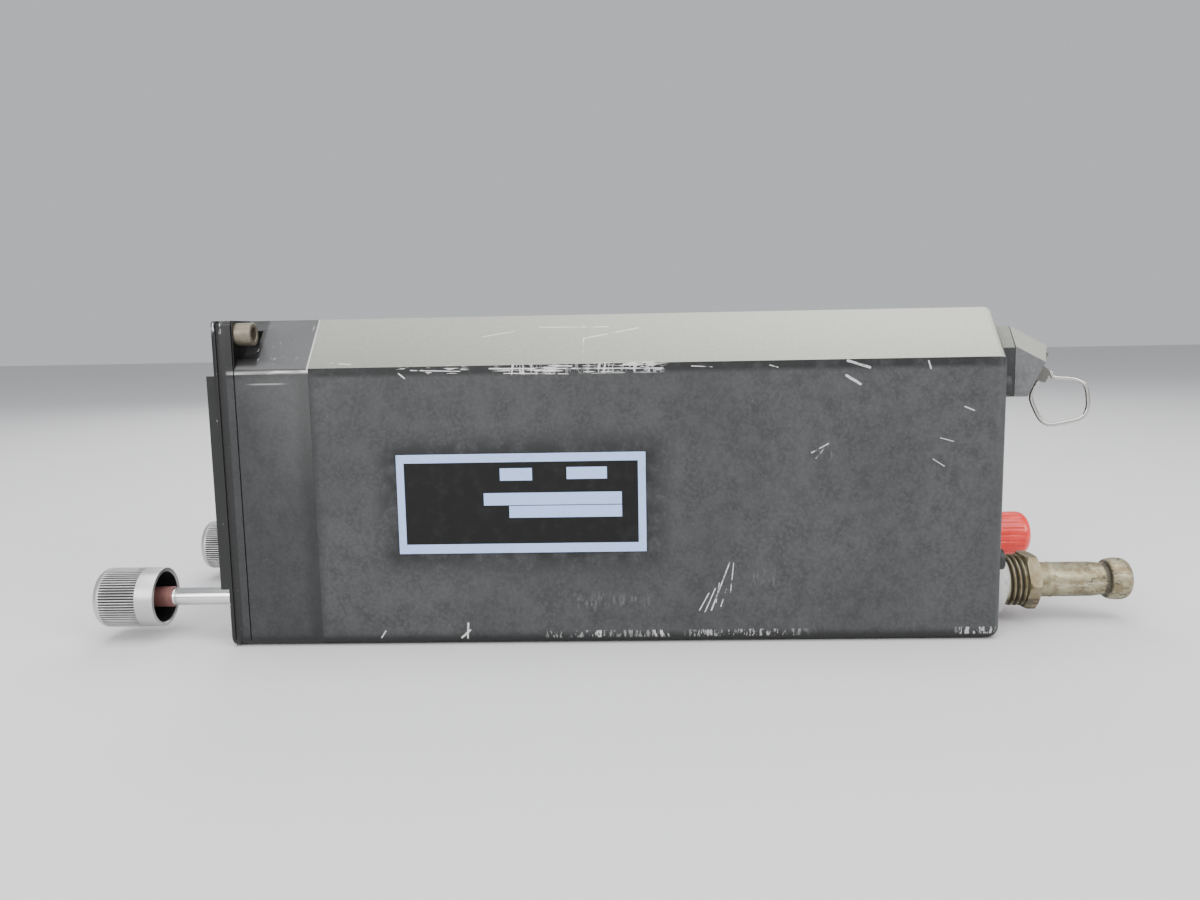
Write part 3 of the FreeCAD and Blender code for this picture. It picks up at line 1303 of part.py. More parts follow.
# Knob: hollow knurled shell on a brass hub, which the shaft carries
def make_knob(prefix, side, shaft_end):
    shell = new_body(f"{prefix}_knob")
    front = f"({knob_rim_y} - {knob_band} - {knurl_length} - {knob_crown})"
    outer = front_sketch(shell, "outer", front)
    circle(outer, knob_radius)
    pad(shell, outer, f"{knob_rim_y} - {front}")
    tip = value(front) + 0.01
    fillet(shell, f"{knob_crown} - 0.1", lambda edge: edge.BoundBox.YMax < tip)
    gap = front_sketch(shell, "knurl_gap", f"{front} + {knob_crown}")
    polygon(gap, [("-0.12", f"{knob_radius} - {knurl_depth}"), ("0.12", f"{knob_radius} - {knurl_depth}"),
                  ("0.5", f"{knob_radius} + 0.1"), ("-0.5", f"{knob_radius} + 0.1")])
    cut = pocket(shell, gap, knurl_length)
    around(shell, cut, gap, knurl_count)
    hollow = front_sketch(shell, "hollow", f"{front} + {knob_crown} + 1")
    circle(hollow, f"{knob_radius} - {knob_wall}")
    circle(hollow, f"{hub_radius} + 1.2")
    pocket(shell, hollow)
    seat = front_sketch(shell, "hub_seat", f"{front} + {knob_crown} + 1")
    circle(seat, hub_radius)
    pocket(shell, seat)
    place(shell, f"{side} * {knob_x}", "0", knob_z)
    disc(f"{prefix}_hub", hub_radius, f"{front} + {knob_crown} + 1", f"{knob_rim_y} + {hub_proud}",
         [(shaft_radius, f"{side} * {knob_x}", knob_z)], f"{side} * {knob_x}", knob_z)
    disc(f"{prefix}_shaft", shaft_radius, f"{front} + {knob_crown} + 1", shaft_end, [],
         f"{side} * {knob_x}", knob_z)
    disc(f"{prefix}_bushing", bushing_radius, f"-{bushing_proud}", bushing_end,
         [(f"{shaft_radius} + {running_clearance}", f"{side} * {knob_x}", knob_z)],
         f"{side} * {knob_x}", knob_z)


make_front_casting()
make_bezel()
make_gasket()
make_bezel_screws()
make_panel_inserts()
make_window()
make_dial_mask()
make_aircraft_symbol()
make_flag("heading_flag", 1)
make_flag("course_flag", -1)
make_pointer("glideslope_pointer_right", 1)
make_pointer("glideslope_pointer_left", -1)
make_card()
make_bug()
make_course()
make_deviation_bar()
make_plates()
make_azimuth_shaft()
make_crown()
make_outer_gimbal()
make_inner_gimbal()
make_rotor()
make_chassis()
make_board()
make_sleeve()
make_sleeve_screws()
make_data_plate()
make_hood()
make_connector()
make_bail("latch_bail_right", 1)
make_bail("latch_bail_left", -1)
make_hose_fitting()
make_capped_port()

# Heading knob on the right, sliding in its pinion; course knob on the left, fixed to its pinion
make_knob("heading", 1, f"{gear_plate_y} + {layer}")
heading_pinion = gear("heading_pinion", knob_teeth, f"{insert_end} + {seat_gap}",
                      f"{gear_plate_y} - {seat_gap}", f"{shaft_radius} + {running_clearance}")
place(heading_pinion, knob_x, "0", knob_z, (0, 1, 0), f"270 deg - {knob_direction}")
make_knob("course", -1, f"{rear_plate_end} + {layer}")
course_pinion = gear("course_pinion", knob_teeth, course_gear_y, f"{course_gear_y} + {gear_thickness}",
                     shaft_radius)
place(course_pinion, f"-{knob_x}", "0", knob_z, (0, 1, 0),
      f"90 deg + {knob_direction} - 180 deg / {knob_teeth}")

doc.recompute()

for item in doc.Objects:
    faults = [word for word in item.State if word in ("Invalid", "Error")]
    if faults:
        raise RuntimeError(f"{item.Label} is {faults}")
os.makedirs("parts", exist_ok=True)
for node in nodes:
    shape = node.Shape
    if shape.isNull() or not shape.isValid():
        raise RuntimeError(f"{node.Label} has no valid shape")
    shape.exportStep(f"parts/{node.Label}.step")
print(len(nodes), "sub-parts written")
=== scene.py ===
import json
import math
import bmesh
import bpy
import numpy as np
from mathutils import Matrix, Vector


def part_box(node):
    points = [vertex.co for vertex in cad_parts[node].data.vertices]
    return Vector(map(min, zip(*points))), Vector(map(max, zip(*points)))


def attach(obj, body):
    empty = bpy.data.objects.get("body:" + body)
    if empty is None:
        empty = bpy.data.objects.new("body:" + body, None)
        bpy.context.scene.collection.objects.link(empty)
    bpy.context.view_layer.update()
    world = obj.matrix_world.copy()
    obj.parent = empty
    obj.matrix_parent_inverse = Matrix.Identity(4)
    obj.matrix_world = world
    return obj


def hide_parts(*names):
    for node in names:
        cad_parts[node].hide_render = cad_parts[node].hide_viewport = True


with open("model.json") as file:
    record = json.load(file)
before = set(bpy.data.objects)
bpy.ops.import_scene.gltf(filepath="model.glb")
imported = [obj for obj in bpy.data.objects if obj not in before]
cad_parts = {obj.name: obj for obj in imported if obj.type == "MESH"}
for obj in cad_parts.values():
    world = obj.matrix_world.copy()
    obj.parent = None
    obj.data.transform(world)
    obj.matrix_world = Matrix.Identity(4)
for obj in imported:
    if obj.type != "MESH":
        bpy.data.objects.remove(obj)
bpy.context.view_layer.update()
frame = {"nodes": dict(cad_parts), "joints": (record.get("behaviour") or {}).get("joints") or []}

mm = 0.001
nodes = frame["nodes"]
print("frame loaded,", len(nodes), "nodes")


# Shader fields: a wrapped socket that takes part in sums

class Field:
    def __init__(self, shader, socket):
        self.shader = shader
        self.socket = socket

    def join(self, operation, other, swapped=False):  # a Math node; swapped puts the field second
        pair = (other, self) if swapped else (self, other)
        return self.shader.node("ShaderNodeMath", {"operation": operation}, {0: pair[0], 1: pair[1]})

    def __add__(self, other):
        return self.join("ADD", other)

    __radd__ = __add__

    def __sub__(self, other):
        return self.join("SUBTRACT", other)

    def __rsub__(self, other):
        return self.join("SUBTRACT", other, True)

    def __mul__(self, other):
        return self.join("MULTIPLY", other)

    __rmul__ = __mul__

    def __truediv__(self, other):
        return self.join("DIVIDE", other)

    def __pow__(self, other):
        return self.join("POWER", other)

    def size(self):  # value without its sign
        return self.join("ABSOLUTE", 0.0)

    def least(self, other):
        return self.join("MINIMUM", other)

    def most(self, other):
        return self.join("MAXIMUM", other)

    def rise(self, low, high):  # 0 below low, 1 above high, smooth between
        ends = {"From Min": low, "From Max": high, "Value": self}
        return self.shader.node("ShaderNodeMapRange", {"interpolation_type": "SMOOTHSTEP"}, ends)

    def past(self, low, high):  # rise with its ends in millimetres
        return self.rise(low * mm, high * mm)

    def within(self, low, high, soft):  # 1 from low to high, soft at both ends, in mm
        return self.past(low - soft, low + soft) * (1 - self.past(high - soft, high + soft))


class Shader:
    def __init__(self, name):
        self.material = bpy.data.materials.new(name)
        self.material.use_nodes = True
        self.tree = self.material.node_tree
        self.surface = self.tree.nodes["Principled BSDF"]
        self.place = self.node("ShaderNodeTexCoord", {}, {}, "Object")
        self.x, self.y, self.z = self.split(self.place)

    def node(self, kind, settings, inputs, output=0):
        made = self.tree.nodes.new(kind)
        for key, setting in settings.items():
            setattr(made, key, setting)
        for key, content in inputs.items():
            self.feed(made.inputs[key], content)
        return Field(self, made.outputs[output])

    def feed(self, socket, content):  # a link from a field, or a fixed value
        if isinstance(content, Field):
            self.tree.links.new(content.socket, socket)
        else:
            socket.default_value = content

    def split(self, vector):  # x, y and z of a vector
        first = self.node("ShaderNodeSeparateXYZ", {}, {0: vector})
        return [Field(self, socket) for socket in first.socket.node.outputs]

    def noise(self, scale, detail=3.0, roughness=0.55, place=None):
        settings = {"Vector": place or self.place, "Scale": scale, "Detail": detail, "Roughness": roughness}
        return self.node("ShaderNodeTexNoise", {}, settings)

    def stretched(self, factors, turn=(0.0, 0.0, 0.0)):  # place scaled along each axis, for streaks
        return self.node("ShaderNodeMapping", {}, {"Vector": self.place, "Scale": factors, "Rotation": turn})

    def blend(self, factor, first, second):  # colour mix
        inputs = {0: factor, 6: first, 7: second}
        return self.node("ShaderNodeMix", {"data_type": "RGBA"}, inputs, 2)

    def bump(self, height, strength, distance):
        inputs = {"Height": height, "Strength": strength, "Distance": distance}
        return self.node("ShaderNodeBump", {}, inputs)

    def upward(self):  # 1 where the surface faces up
        return self.split(self.node("ShaderNodeNewGeometry", {}, {}, "Normal"))[2]

    def finish(self, **inputs):  # names with spaces come as camelCase
        names = {"baseColor": "Base Color", "roughness": "Roughness", "metallic": "Metallic",
                 "normal": "Normal", "coat": "Coat Weight", "specular": "Specular IOR Level",
                 "alpha": "Alpha", "transmission": "Transmission Weight", "ior": "IOR"}
        for key, content in inputs.items():
            self.feed(self.surface.inputs[names[key]], content)
        return self.material


def grey(level, warmth=0.0):
    # a level of grey with a share of it moved from blue to red
    return (level * (1 + warmth), level, level * (1 - warmth), 1.0)


def highest(fields):
    # the largest of several fields
    top = fields[0]
    for field in fields[1:]:
        top = top.most(field)
    return top


def axisRadius(shader, across, look):
    # distance from the line along Y through a piece's x and z: root of the two squared offsets
    side = across - look["x"] * mm
    drop = shader.z - look["z"] * mm
    return (side * side + drop * drop) ** 0.5


# Sizes of the turned pieces in millimetres; their finishes use them too

knobLook = {
    "x": 31.43, "z": -30.79, "radius": 7.8, "wall": 1.15, "crown": 2.1,
    "front": -38.0, "knurlEnd": -35.9, "floor": -33.6, "band": -26.2, "rim": -21.4,  # along y
    "flutes": 66, "fluteDepth": 0.42, "hubRadius": 2.65, "shaftRadius": 2.3,
}

fittingLook = {
    "x": 24.0, "z": -30.7, "threadRadius": 6.85, "pitch": 1.41, "threadDepth": 0.85,
    "threadStart": 193.0, "threadEnd": 206.3, "hexFlats": 13.8, "hexLength": 3.1,
    "nipple": 4.55, "beadStart": 228.4, "bead": 5.55, "end": 234.3, "bore": 3.1,
    "boss": (9.3, 9.5),  # radius at which the sealant on the case ends
    "bossFrom": (197.2, 197.6),
    "zones": {"sealant": (199.3, 201.1), "threads": (201.3, 206.1), "hexagon": (206.4, 210.0),
              "nipple": (211.0, 213.5), "stains": (215, 224), "crevice": (227.2, 228.7)},
}

capLook = {
    "x": -24.0, "z": -28.8, "radius": 6.95, "start": 199.8, "end": 227.6, "dome": 2.9,
    "ribs": 22, "ribDepth": 0.24, "inner": 5.25, "floor": 219.0,
}

# Marks on the right-hand side, and where painted shade, a darker patch and painted light go, in millimetres

caseMarks = {
    "strokes": [  # bare metal from y, z to y, z, then width
        (119.6, -33.0, 122.0, -28.6, 0.26), (121.0, -33.4, 123.6, -27.4, 0.26),
        (122.6, -33.0, 127.2, -20.8, 0.34), (125.0, -32.0, 126.4, -27.6, 0.30),
        (127.4, -28.5, 128.2, -20.9, 0.22), (123.8, -31.0, 124.6, -26.0, 0.22),
        (155.9, 29.0, 161.2, 27.3, 0.60), (155.6, 25.4, 159.0, 23.3, 0.62),
        (175.3, 28.6, 175.9, 26.8, 0.40), (184.3, 17.4, 186.6, 16.4, 0.34),
        (178.6, 9.8, 181.8, 8.9, 0.20), (176.9, 4.6, 179.7, 2.8, 0.20),
        (147.3, 6.6, 151.4, 8.8, 0.30), (148.4, 5.2, 150.2, 7.4, 0.24),
        (60.6, -41.2, 61.0, -35.8, 0.45), (59.2, -39.6, 61.4, -37.6, 0.50),
        (38.6, -39.4, 39.8, -37.6, 0.35), (194.6, -24.0, 194.9, -28.6, 0.50),
        (49.0, 28.5, 61.0, 28.1, 0.22), (46.0, 27.8, 47.4, 26.6, 0.30),
        (68.5, 28.6, 111.0, 28.0, 0.30), (72.0, 27.4, 88.0, 27.0, 0.18),
        (118.0, 28.4, 123.0, 28.1, 0.22), (137.0, 28.3, 139.0, 27.7, 0.22),
    ],
    "scuffs": [(88.0, -32.4, 107.0, -28.4), (133.0, -27.0, 139.0, -23.0), (149.0, 5.0, 153.0, 9.0)],
    "chamfer": [(91.5, 30.6, 91.5, 35.5, 0.16), (91.5, 35.5, 105.2, 37.9, 0.16),
                (80.3, 38.5, 97.7, 38.3, 0.12), (66.0, 36.4, 74.0, 37.6, 0.10),
                (29.0, 30.6, 34.0, 30.2, 0.14)],
    "sideX": 41.0,  # the side's paint begins here
    "hatch": (71.5, 110.5),  # lengths of the rubbed crease
    "thin": (46.5, 62.5),
    "crease": (27.1, 29.5),  # heights of the crease and of the lower edge
    "lowEdge": (-39.9, -38.0),
    "lowRubs": [(82, 112, 2, 1.0), (117, 146, 2, 0.55), (184, 194, 1, 0.7)],  # y, y, softness, share
    "halo": (40.0, 111.0, -21.5, 11.5),  # a darker patch round the plate
    "foot": (-40.6, -37.4),  # painted shade below, under the crease, and where casting and sleeve meet
    "brow": (26.4, 28.0),
    "joint": (20.5, 24.5),
    "recess": (2.9, 10.4),  # shaded step behind the flange, and its height
    "recessTop": (29.8, 30.6),
    "topLightFade": (20, 190),  # the painted light on upward faces turns paler along these lengths
}


def segmentDistance(shader, y0, z0, y1, z1):
    # distance in the side's plane from a point to a straight stroke
    dy = (y1 - y0) * mm
    dz = (z1 - z0) * mm
    y = shader.y - y0 * mm
    z = shader.z - z0 * mm
    along = ((y * dy + z * dz) / (dy * dy + dz * dz)).most(0.0).least(1.0)
    offY = y - along * dy
    offZ = z - along * dz
    return (offY * offY + offZ * offZ) ** 0.5


def handMark(shader):
    # 1 on the right-hand side, 0 on the rest
    return shader.x.past(caseMarks["sideX"], caseMarks["sideX"] + 0.3)


def sleeveWear(shader, streaks, ticks, patches):
    # bare metal where the crease and the lower edge rub, and the single strokes
    right = handMark(shader)
    crease = shader.z.within(*caseMarks["crease"], 0.35) * right
    hatch = shader.y.within(*caseMarks["hatch"], 3.0)
    thin = shader.y.within(*caseMarks["thin"], 1.5)
    lowEdge = shader.z.within(*caseMarks["lowEdge"], 0.25) * right
    rubs = [share * shader.y.within(start, end, soft) for start, end, soft, share in caseMarks["lowRubs"]]
    bare = highest([ticks.rise(0.545, 0.585) * crease * hatch * (0.25 + 0.75 * patches),
                    streaks.rise(0.57, 0.60) * crease * hatch,
                    streaks.rise(0.60, 0.63) * crease * thin,
                    ticks.rise(0.53, 0.57) * lowEdge * highest(rubs) * (0.3 + 0.7 * patches)])
    rub = shader.noise(180.0, 4.0, 0.7)
    for y0, z0, y1, z1, width in caseMarks["strokes"]:
        ragged = segmentDistance(shader, y0, z0, y1, z1) * (0.55 + 0.9 * streaks)
        stroke = 1 - ragged.past(width * 0.32, width * 0.62)
        bare = bare.most(stroke * right * rub.rise(0.36, 0.46))
    outer = shader.x.past(28.0, 29.0)
    for y0, z0, y1, z1, width in caseMarks["chamfer"]:
        stroke = 1 - segmentDistance(shader, y0, z0, y1, z1).past(width * 0.5, width * 1.2)
        bare = bare.most(stroke * outer * rub.rise(0.38, 0.46) * 0.6)
    return bare


def castingWearAndHighlights(shader, streaks, ticks, patches):
    # painted highlight mixed with wear along the crease, bright seam where the sleeve starts, flecks on the
    # flange's edges and corners that are partly painted glints and partly chips
    right = handMark(shader)
    behind = shader.y.past(2.7, 3.6)
    flange = 1 - behind
    # painted highlight along the crease, mixed with wear
    crease = shader.z.within(28.3, 28.95, 0.3) * right * behind
    faint = shader.z.within(25.6, 25.9, 0.15) * right * behind * shader.y.within(9.0, 17.0, 2.0)
    seam = shader.y.within(23.1, 23.6, 0.12) * shader.z.past(28.0, 29.0)
    corner = shader.z.past(37.5, 40.0)
    scuffs = shader.noise(420.0, 4.0, 0.75, shader.stretched((1.0, 1.8, 0.5)))
    # flecks on the flange: partly painted glints, partly chips
    return highest([crease * (0.30 + 0.45 * streaks.rise(0.45, 0.6)),
                    faint * 0.3,
                    seam * 0.55,
                    ticks.rise(0.60, 0.64) * flange * corner * 0.9,
                    ticks.rise(0.70, 0.73) * flange * right * 0.6,
                    scuffs.rise(0.66, 0.70) * behind * shader.upward().rise(0.3, 0.8) * 0.35])


def noWear(shader, streaks, ticks, patches):
    # a few bright flecks only
    return ticks.rise(0.72, 0.75) * 0.4


def sealantRing(shader):
    # pale sealant on the boss that carries the hose fitting
    radius = axisRadius(shader, shader.x, fittingLook)
    return (1 - radius.past(*fittingLook["boss"])) * shader.y.past(*fittingLook["bossFrom"])


def caseEnamel(name, look):
    # satin enamel: fine mottling and grain, painted light on upward faces, painted shade towards the bottom,
    # under the crease and where casting and sleeve meet, a darker patch round the plate
    shader = Shader(name)
    dark = look["dark"]
    right = handMark(shader)
    cloud = shader.noise(190.0, 4.0, 0.65)
    broad = shader.noise(26.0, 2.0, 0.5)
    grain = shader.noise(1100.0, 3.0, 0.7)
    specks = shader.noise(3800.0, 2.0, 0.6)
    up = shader.upward().rise(0.25, 0.75)
    base = shader.blend(cloud.rise(0.30, 0.70), grey(dark * 0.76, -0.03), grey(dark * 1.14, -0.03))
    base = shader.blend(grain.rise(0.44, 0.62) * 0.5, base, grey(dark * 1.5, -0.03))
    base = shader.blend(broad.rise(0.4, 0.7) * 0.3, base, grey(dark * 0.5, -0.03))
    yLow, yHigh, zLow, zHigh = caseMarks["halo"]
    halo = shader.y.within(yLow, yHigh, 4) * shader.z.within(zLow, zHigh, 4) * right * cloud.rise(0.3, 0.62)
    foot = 1 - shader.z.past(*caseMarks["foot"])
    brow = shader.z.past(*caseMarks["brow"]) * (0.5 + 0.5 * cloud.rise(0.35, 0.55))
    joint = shader.y.within(*caseMarks["joint"], 1.6)
    # painted shade: darker towards the bottom, under the crease and where casting and sleeve meet; halo is a
    # darker patch round the plate
    paintedShade = highest([0.85 * halo, 0.95 * foot, 0.85 * brow, 0.5 * joint])
    base = shader.blend(paintedShade * look["paintedShade"] * (1 - up), base, grey(dark * 0.16))
    # painted light: upward faces paler, more so towards the rear
    paleOverlay = shader.blend(shader.y.past(*caseMarks["topLightFade"]), look["paleOverlay"], look["topLightFar"])
    base = shader.blend(up * look["topLightShare"] * (0.86 + 0.28 * (grain - 0.5)), base, paleOverlay)
    recess = shader.y.within(*caseMarks["recess"], 0.5) * shader.z.past(*caseMarks["recessTop"])
    base = shader.blend(recess * look["recess"], base, grey(0.004))
    front = 1 - shader.y.past(look["blackTo"] - 0.4, look["blackTo"])
    base = shader.blend(front * 0.85, base, grey(0.006))
    streaks = shader.noise(520.0, 2.0, 0.75, shader.stretched((1.0, 0.22, 2.6)))
    ticks = shader.noise(560.0, 3.0, 0.75, shader.stretched((1.0, 2.4, 0.55), (0.35, 0.0, 0.0)))
    patches = shader.noise(90.0, 2.0, 0.5).rise(0.44, 0.56)
    bare = look["wear"](shader, streaks, ticks, patches)
    bare = bare.most(specks.rise(0.735, 0.76) * grain.rise(0.55, 0.7) * 0.7)
    smudge = shader.noise(150.0, 5.0, 0.75).rise(0.66, 0.76) * right * 0.14
    for y0, z0, y1, z1 in caseMarks["scuffs"]:
        patch = shader.y.within(y0, y1, 1.5) * shader.z.within(z0, z1, 1.2)
        smudge = smudge.most(patch * ticks.rise(0.52, 0.60) * right * look["scuffs"])
    base = shader.blend(smudge, base, grey(0.16, 0.02))
    colour = shader.blend(bare, base, grey(0.66, 0.01))
    ring = sealantRing(shader)
    colour = shader.blend(ring * cloud.rise(0.30, 0.46), colour, grey(0.50, 0.02))
    rough = look["roughness"] + 0.12 * cloud - 0.10 * bare + 0.10 * up + 0.2 * ring
    relief = shader.bump(0.6 * grain + 0.4 * specks, 0.35, 0.10 * mm)
    return shader.finish(baseColor=colour, roughness=rough, metallic=bare * 0.6, normal=relief,
                         specular=look["specular"])


def plainPaint(name, colour, rough):
    # flat paint, blotched with a darker shade of itself, with a fine grain
    shader = Shader(name)
    cloud = shader.noise(160.0, 4.0, 0.6)
    darker = tuple(part * 0.75 for part in colour[:3]) + (1.0,)
    mixed = shader.blend(cloud.rise(0.3, 0.7) * 0.5, colour, darker)
    relief = shader.bump(shader.noise(2600.0), 0.12, 0.06 * mm)
    return shader.finish(baseColor=mixed, roughness=rough + 0.1 * cloud, normal=relief)


metalLook = {"stainShare": 0.35, "relief": 0.15, "uneven": 0.25, "metallic": 1.0}


def metal(name, colour, rough, **changes):
    # turned or plated metal: fine lines round the Y axis, blotches of oxide
    look = {**metalLook, **changes}
    shader = Shader(name)
    blotch = shader.noise(220.0, 5.0, 0.65)
    lines = shader.noise(900.0, 2.0, 0.5, shader.stretched((0.15, 6.0, 0.15)))
    stain = tuple(part * 0.55 for part in colour[:3]) + (1.0,)
    mixed = shader.blend(blotch.rise(0.46, 0.72) * look["stainShare"], colour, stain)
    relief = shader.bump(0.6 * lines + 0.4 * blotch, look["relief"], 0.05 * mm)
    rougher = rough + look["uneven"] * blotch.rise(0.4, 0.75)
    return shader.finish(baseColor=mixed, roughness=rougher, metallic=look["metallic"], normal=relief)


def platedFitting(name):
    # yellowed plate: brown grease in the threads and crevices, pale streaks along the nipple, painted shade
    # mixed with stains on the lower side
    shader = Shader(name)
    zones = fittingLook["zones"]
    blotch = shader.noise(300.0, 5.0, 0.7)
    streaks = shader.noise(620.0, 4.0, 0.7, shader.stretched((1.0, 0.22, 1.0)))
    spots = shader.noise(900.0, 4.0, 0.75, shader.stretched((1.0, 0.6, 1.0)))
    radius = axisRadius(shader, shader.x, fittingLook)
    drop = shader.z - fittingLook["z"] * mm
    colour = shader.blend(blotch.rise(0.38, 0.62), (0.38, 0.35, 0.235, 1), (0.22, 0.175, 0.10, 1))
    nippleOnly = shader.y.past(*zones["nipple"])
    colour = shader.blend(streaks.rise(0.54, 0.68) * nippleOnly * 0.55, colour, (0.60, 0.58, 0.46, 1))
    hexOnly = shader.y.within(*zones["hexagon"], 0.15)
    colour = shader.blend(hexOnly * 0.55, colour, (0.20, 0.155, 0.09, 1))
    threads = shader.y.within(*zones["threads"], 0.1)
    groove = threads * (1 - radius.past(6.15, 6.7))
    colour = shader.blend(threads * 0.35, colour, (0.16, 0.12, 0.065, 1))
    stains = spots.rise(0.56, 0.62) * shader.y.past(*zones["stains"])
    # painted shade with streaky stains on the lower side
    lower = (1 - drop.past(-4.6, -1.6)) * streaks.rise(0.40, 0.52)
    crevice = shader.y.within(*zones["crevice"], 0.3) * blotch.rise(0.36, 0.5)
    dirtAndShade = highest([groove * 0.92, stains * 0.85, lower * 0.8, crevice * 0.85])
    colour = shader.blend(dirtAndShade, colour, (0.022, 0.018, 0.013, 1))
    sealant = shader.y.within(*zones["sealant"], 0.2) * shader.noise(500.0).rise(0.32, 0.40)
    colour = shader.blend(sealant, colour, (0.72, 0.72, 0.70, 1))
    relief = shader.bump(0.5 * blotch + 0.5 * spots, 0.45, 0.18 * mm)
    return shader.finish(baseColor=colour, roughness=0.34 + 0.28 * blotch + 0.2 * sealant,
                         metallic=0.7 * (1 - sealant.most(dirtAndShade * 0.9)), normal=relief)


def knobMetal(name):
    # bead-blasted aluminium with painted shade between the flutes, black painted shade inside the hollow
    # back
    shader = Shader(name)
    look = knobLook
    outer = look["radius"]
    speckle = shader.noise(1500.0, 3.0, 0.6)
    cloud = shader.noise(300.0, 3.0, 0.6)
    radius = axisRadius(shader, shader.x.size(), look)
    knurled = shader.y.within(look["knurlEnd"] - 0.2, look["band"] + 0.1, 0.15)
    # painted shade in the flutes
    groove = (1 - radius.past(outer - 0.17, outer - 0.03)) * knurled
    colour = shader.blend(cloud, grey(0.46, 0.01), grey(0.58, 0.01))
    colour = shader.blend(groove * (0.80 + 0.20 * speckle), colour, (0.020, 0.018, 0.016, 1))
    # painted shade: black inside the hollow back
    hollow = 1 - radius.past(outer - 1.05, outer - 0.9)
    hollow = hollow * shader.y.past(look["floor"] - 2.4, look["floor"] - 0.9)
    hollow = hollow * (1 - shader.y.past(look["rim"] - 0.35, look["rim"] - 0.15))
    colour = shader.blend(hollow, colour, grey(0.004))
    relief = shader.bump(speckle, 0.25, 0.04 * mm)
    return shader.finish(baseColor=colour, roughness=0.36 + 0.2 * groove + 0.5 * hollow,
                         metallic=0.85 * (1 - hollow.most(groove * 0.8)), normal=relief)


plateLook = {
    "border": 1.9,  # width of the pale border, mm
    "low": (44.4, -17.55),  # y and z of the lower front corner and of the upper rear one
    "high": (106.5, 7.55),
    "fields": [(70.3, 0.8, 78.3, 3.9), (86.9, 1.0, 96.9, 4.0), (66.1, -5.4, 100.5, -2.3),
               (72.4, -8.6, 100.5, -5.6)],
    "soft": 0.06,
}


def platePrint(name):
    # printed foil: pale border and blank fields on worn black
    shader = Shader(name)
    border = plateLook["border"]
    soft = plateLook["soft"]
    yLow, zLow = plateLook["low"]
    yHigh, zHigh = plateLook["high"]
    inner = shader.y.within(yLow + border, yHigh - border, soft)
    inner = inner * shader.z.within(zLow + border * 1.25, zHigh - border * 1.1, soft)
    line = shader.y.within(yLow + border * 0.93, yHigh - border * 0.93, soft)
    pale = 1 - inner
    for y0, z0, y1, z1 in plateLook["fields"]:
        pale = pale.most(shader.y.within(y0, y1, soft) * shader.z.within(z0, z1, soft))
    wear = shader.noise(700.0, 5.0, 0.75)
    pale = pale.most(wear.rise(0.70, 0.76) * 0.25 * line)
    soot = shader.noise(350.0, 4.0, 0.6)
    ink = shader.blend(soot.rise(0.45, 0.8), grey(0.005), grey(0.012))
    paper = shader.blend(soot.rise(0.5, 0.8), (0.40, 0.53, 0.84, 1), (0.34, 0.46, 0.74, 1))
    colour = shader.blend(pale, ink, paper)
    return shader.finish(baseColor=colour, roughness=0.48 + 0.1 * soot, metallic=0.1 * pale,
                         normal=shader.bump(wear, 0.08, 0.03 * mm), specular=0.22)


earLook = {
    "side": 26.2,  # the ears lie outside this x, mm
    "outward": -1.2,  # their tips begin here along the slanted face
    "height": 0.7,  # share of the ears' height that is left at their tips
}


def shellSteel(name):
    # zinc plate; the ears that hold the bails are painted like the hood
    shader = Shader(name)
    blotch = shader.noise(220.0, 5.0, 0.65)
    ears = shader.x.size().past(earLook["side"], earLook["side"] + 0.3)
    colour = shader.blend(blotch.rise(0.46, 0.72) * 0.35, (0.60, 0.61, 0.62, 1), (0.33, 0.335, 0.34, 1))
    colour = shader.blend(ears, colour, (0.085, 0.083, 0.072, 1))
    return shader.finish(baseColor=colour, roughness=0.34 + 0.25 * blotch, metallic=0.95 * (1 - ears),
                         normal=shader.bump(blotch, 0.15, 0.05 * mm))


def capPlastic(name):
    # red moulded plastic, slightly dusty in the grooves
    shader = Shader(name)
    cloud = shader.noise(240.0, 3.0, 0.6)
    colour = shader.blend(cloud.rise(0.4, 0.7), (0.78, 0.018, 0.012, 1), (0.88, 0.040, 0.026, 1))
    radius = axisRadius(shader, shader.x, capLook)
    paleOverlay = (1 - radius.past(6.55, 6.8)) * (1 - shader.y.past(225, 227))
    colour = shader.blend(paleOverlay * 0.12, colour, (0.75, 0.35, 0.32, 1))
    relief = shader.bump(shader.noise(900.0), 0.12, 0.05 * mm)
    return shader.finish(baseColor=colour, roughness=0.24 + 0.12 * cloud, normal=relief, coat=0.4)


def windowGlass(name):
    # clear glass with faint smears in its gloss
    shader = Shader(name)
    smear = shader.noise(90.0, 4.0, 0.6)
    return shader.finish(baseColor=(0.92, 0.96, 0.96, 1), roughness=0.03 + 0.05 * smear.rise(0.5, 0.8),
                         transmission=1.0, ior=1.45, alpha=0.25)


def rubber(name, level):
    # dull and grainy, with paler grains
    shader = Shader(name)
    grain = shader.noise(1800.0, 3.0, 0.6)
    colour = shader.blend(grain.rise(0.4, 0.7), grey(level), grey(level * 1.8))
    return shader.finish(baseColor=colour, roughness=0.72 + 0.15 * grain,
                         normal=shader.bump(grain, 0.3, 0.08 * mm))


# Enamels: dark is the paint's level, the pale colours are painted light on upward faces, blackTo a y in
# millimetres

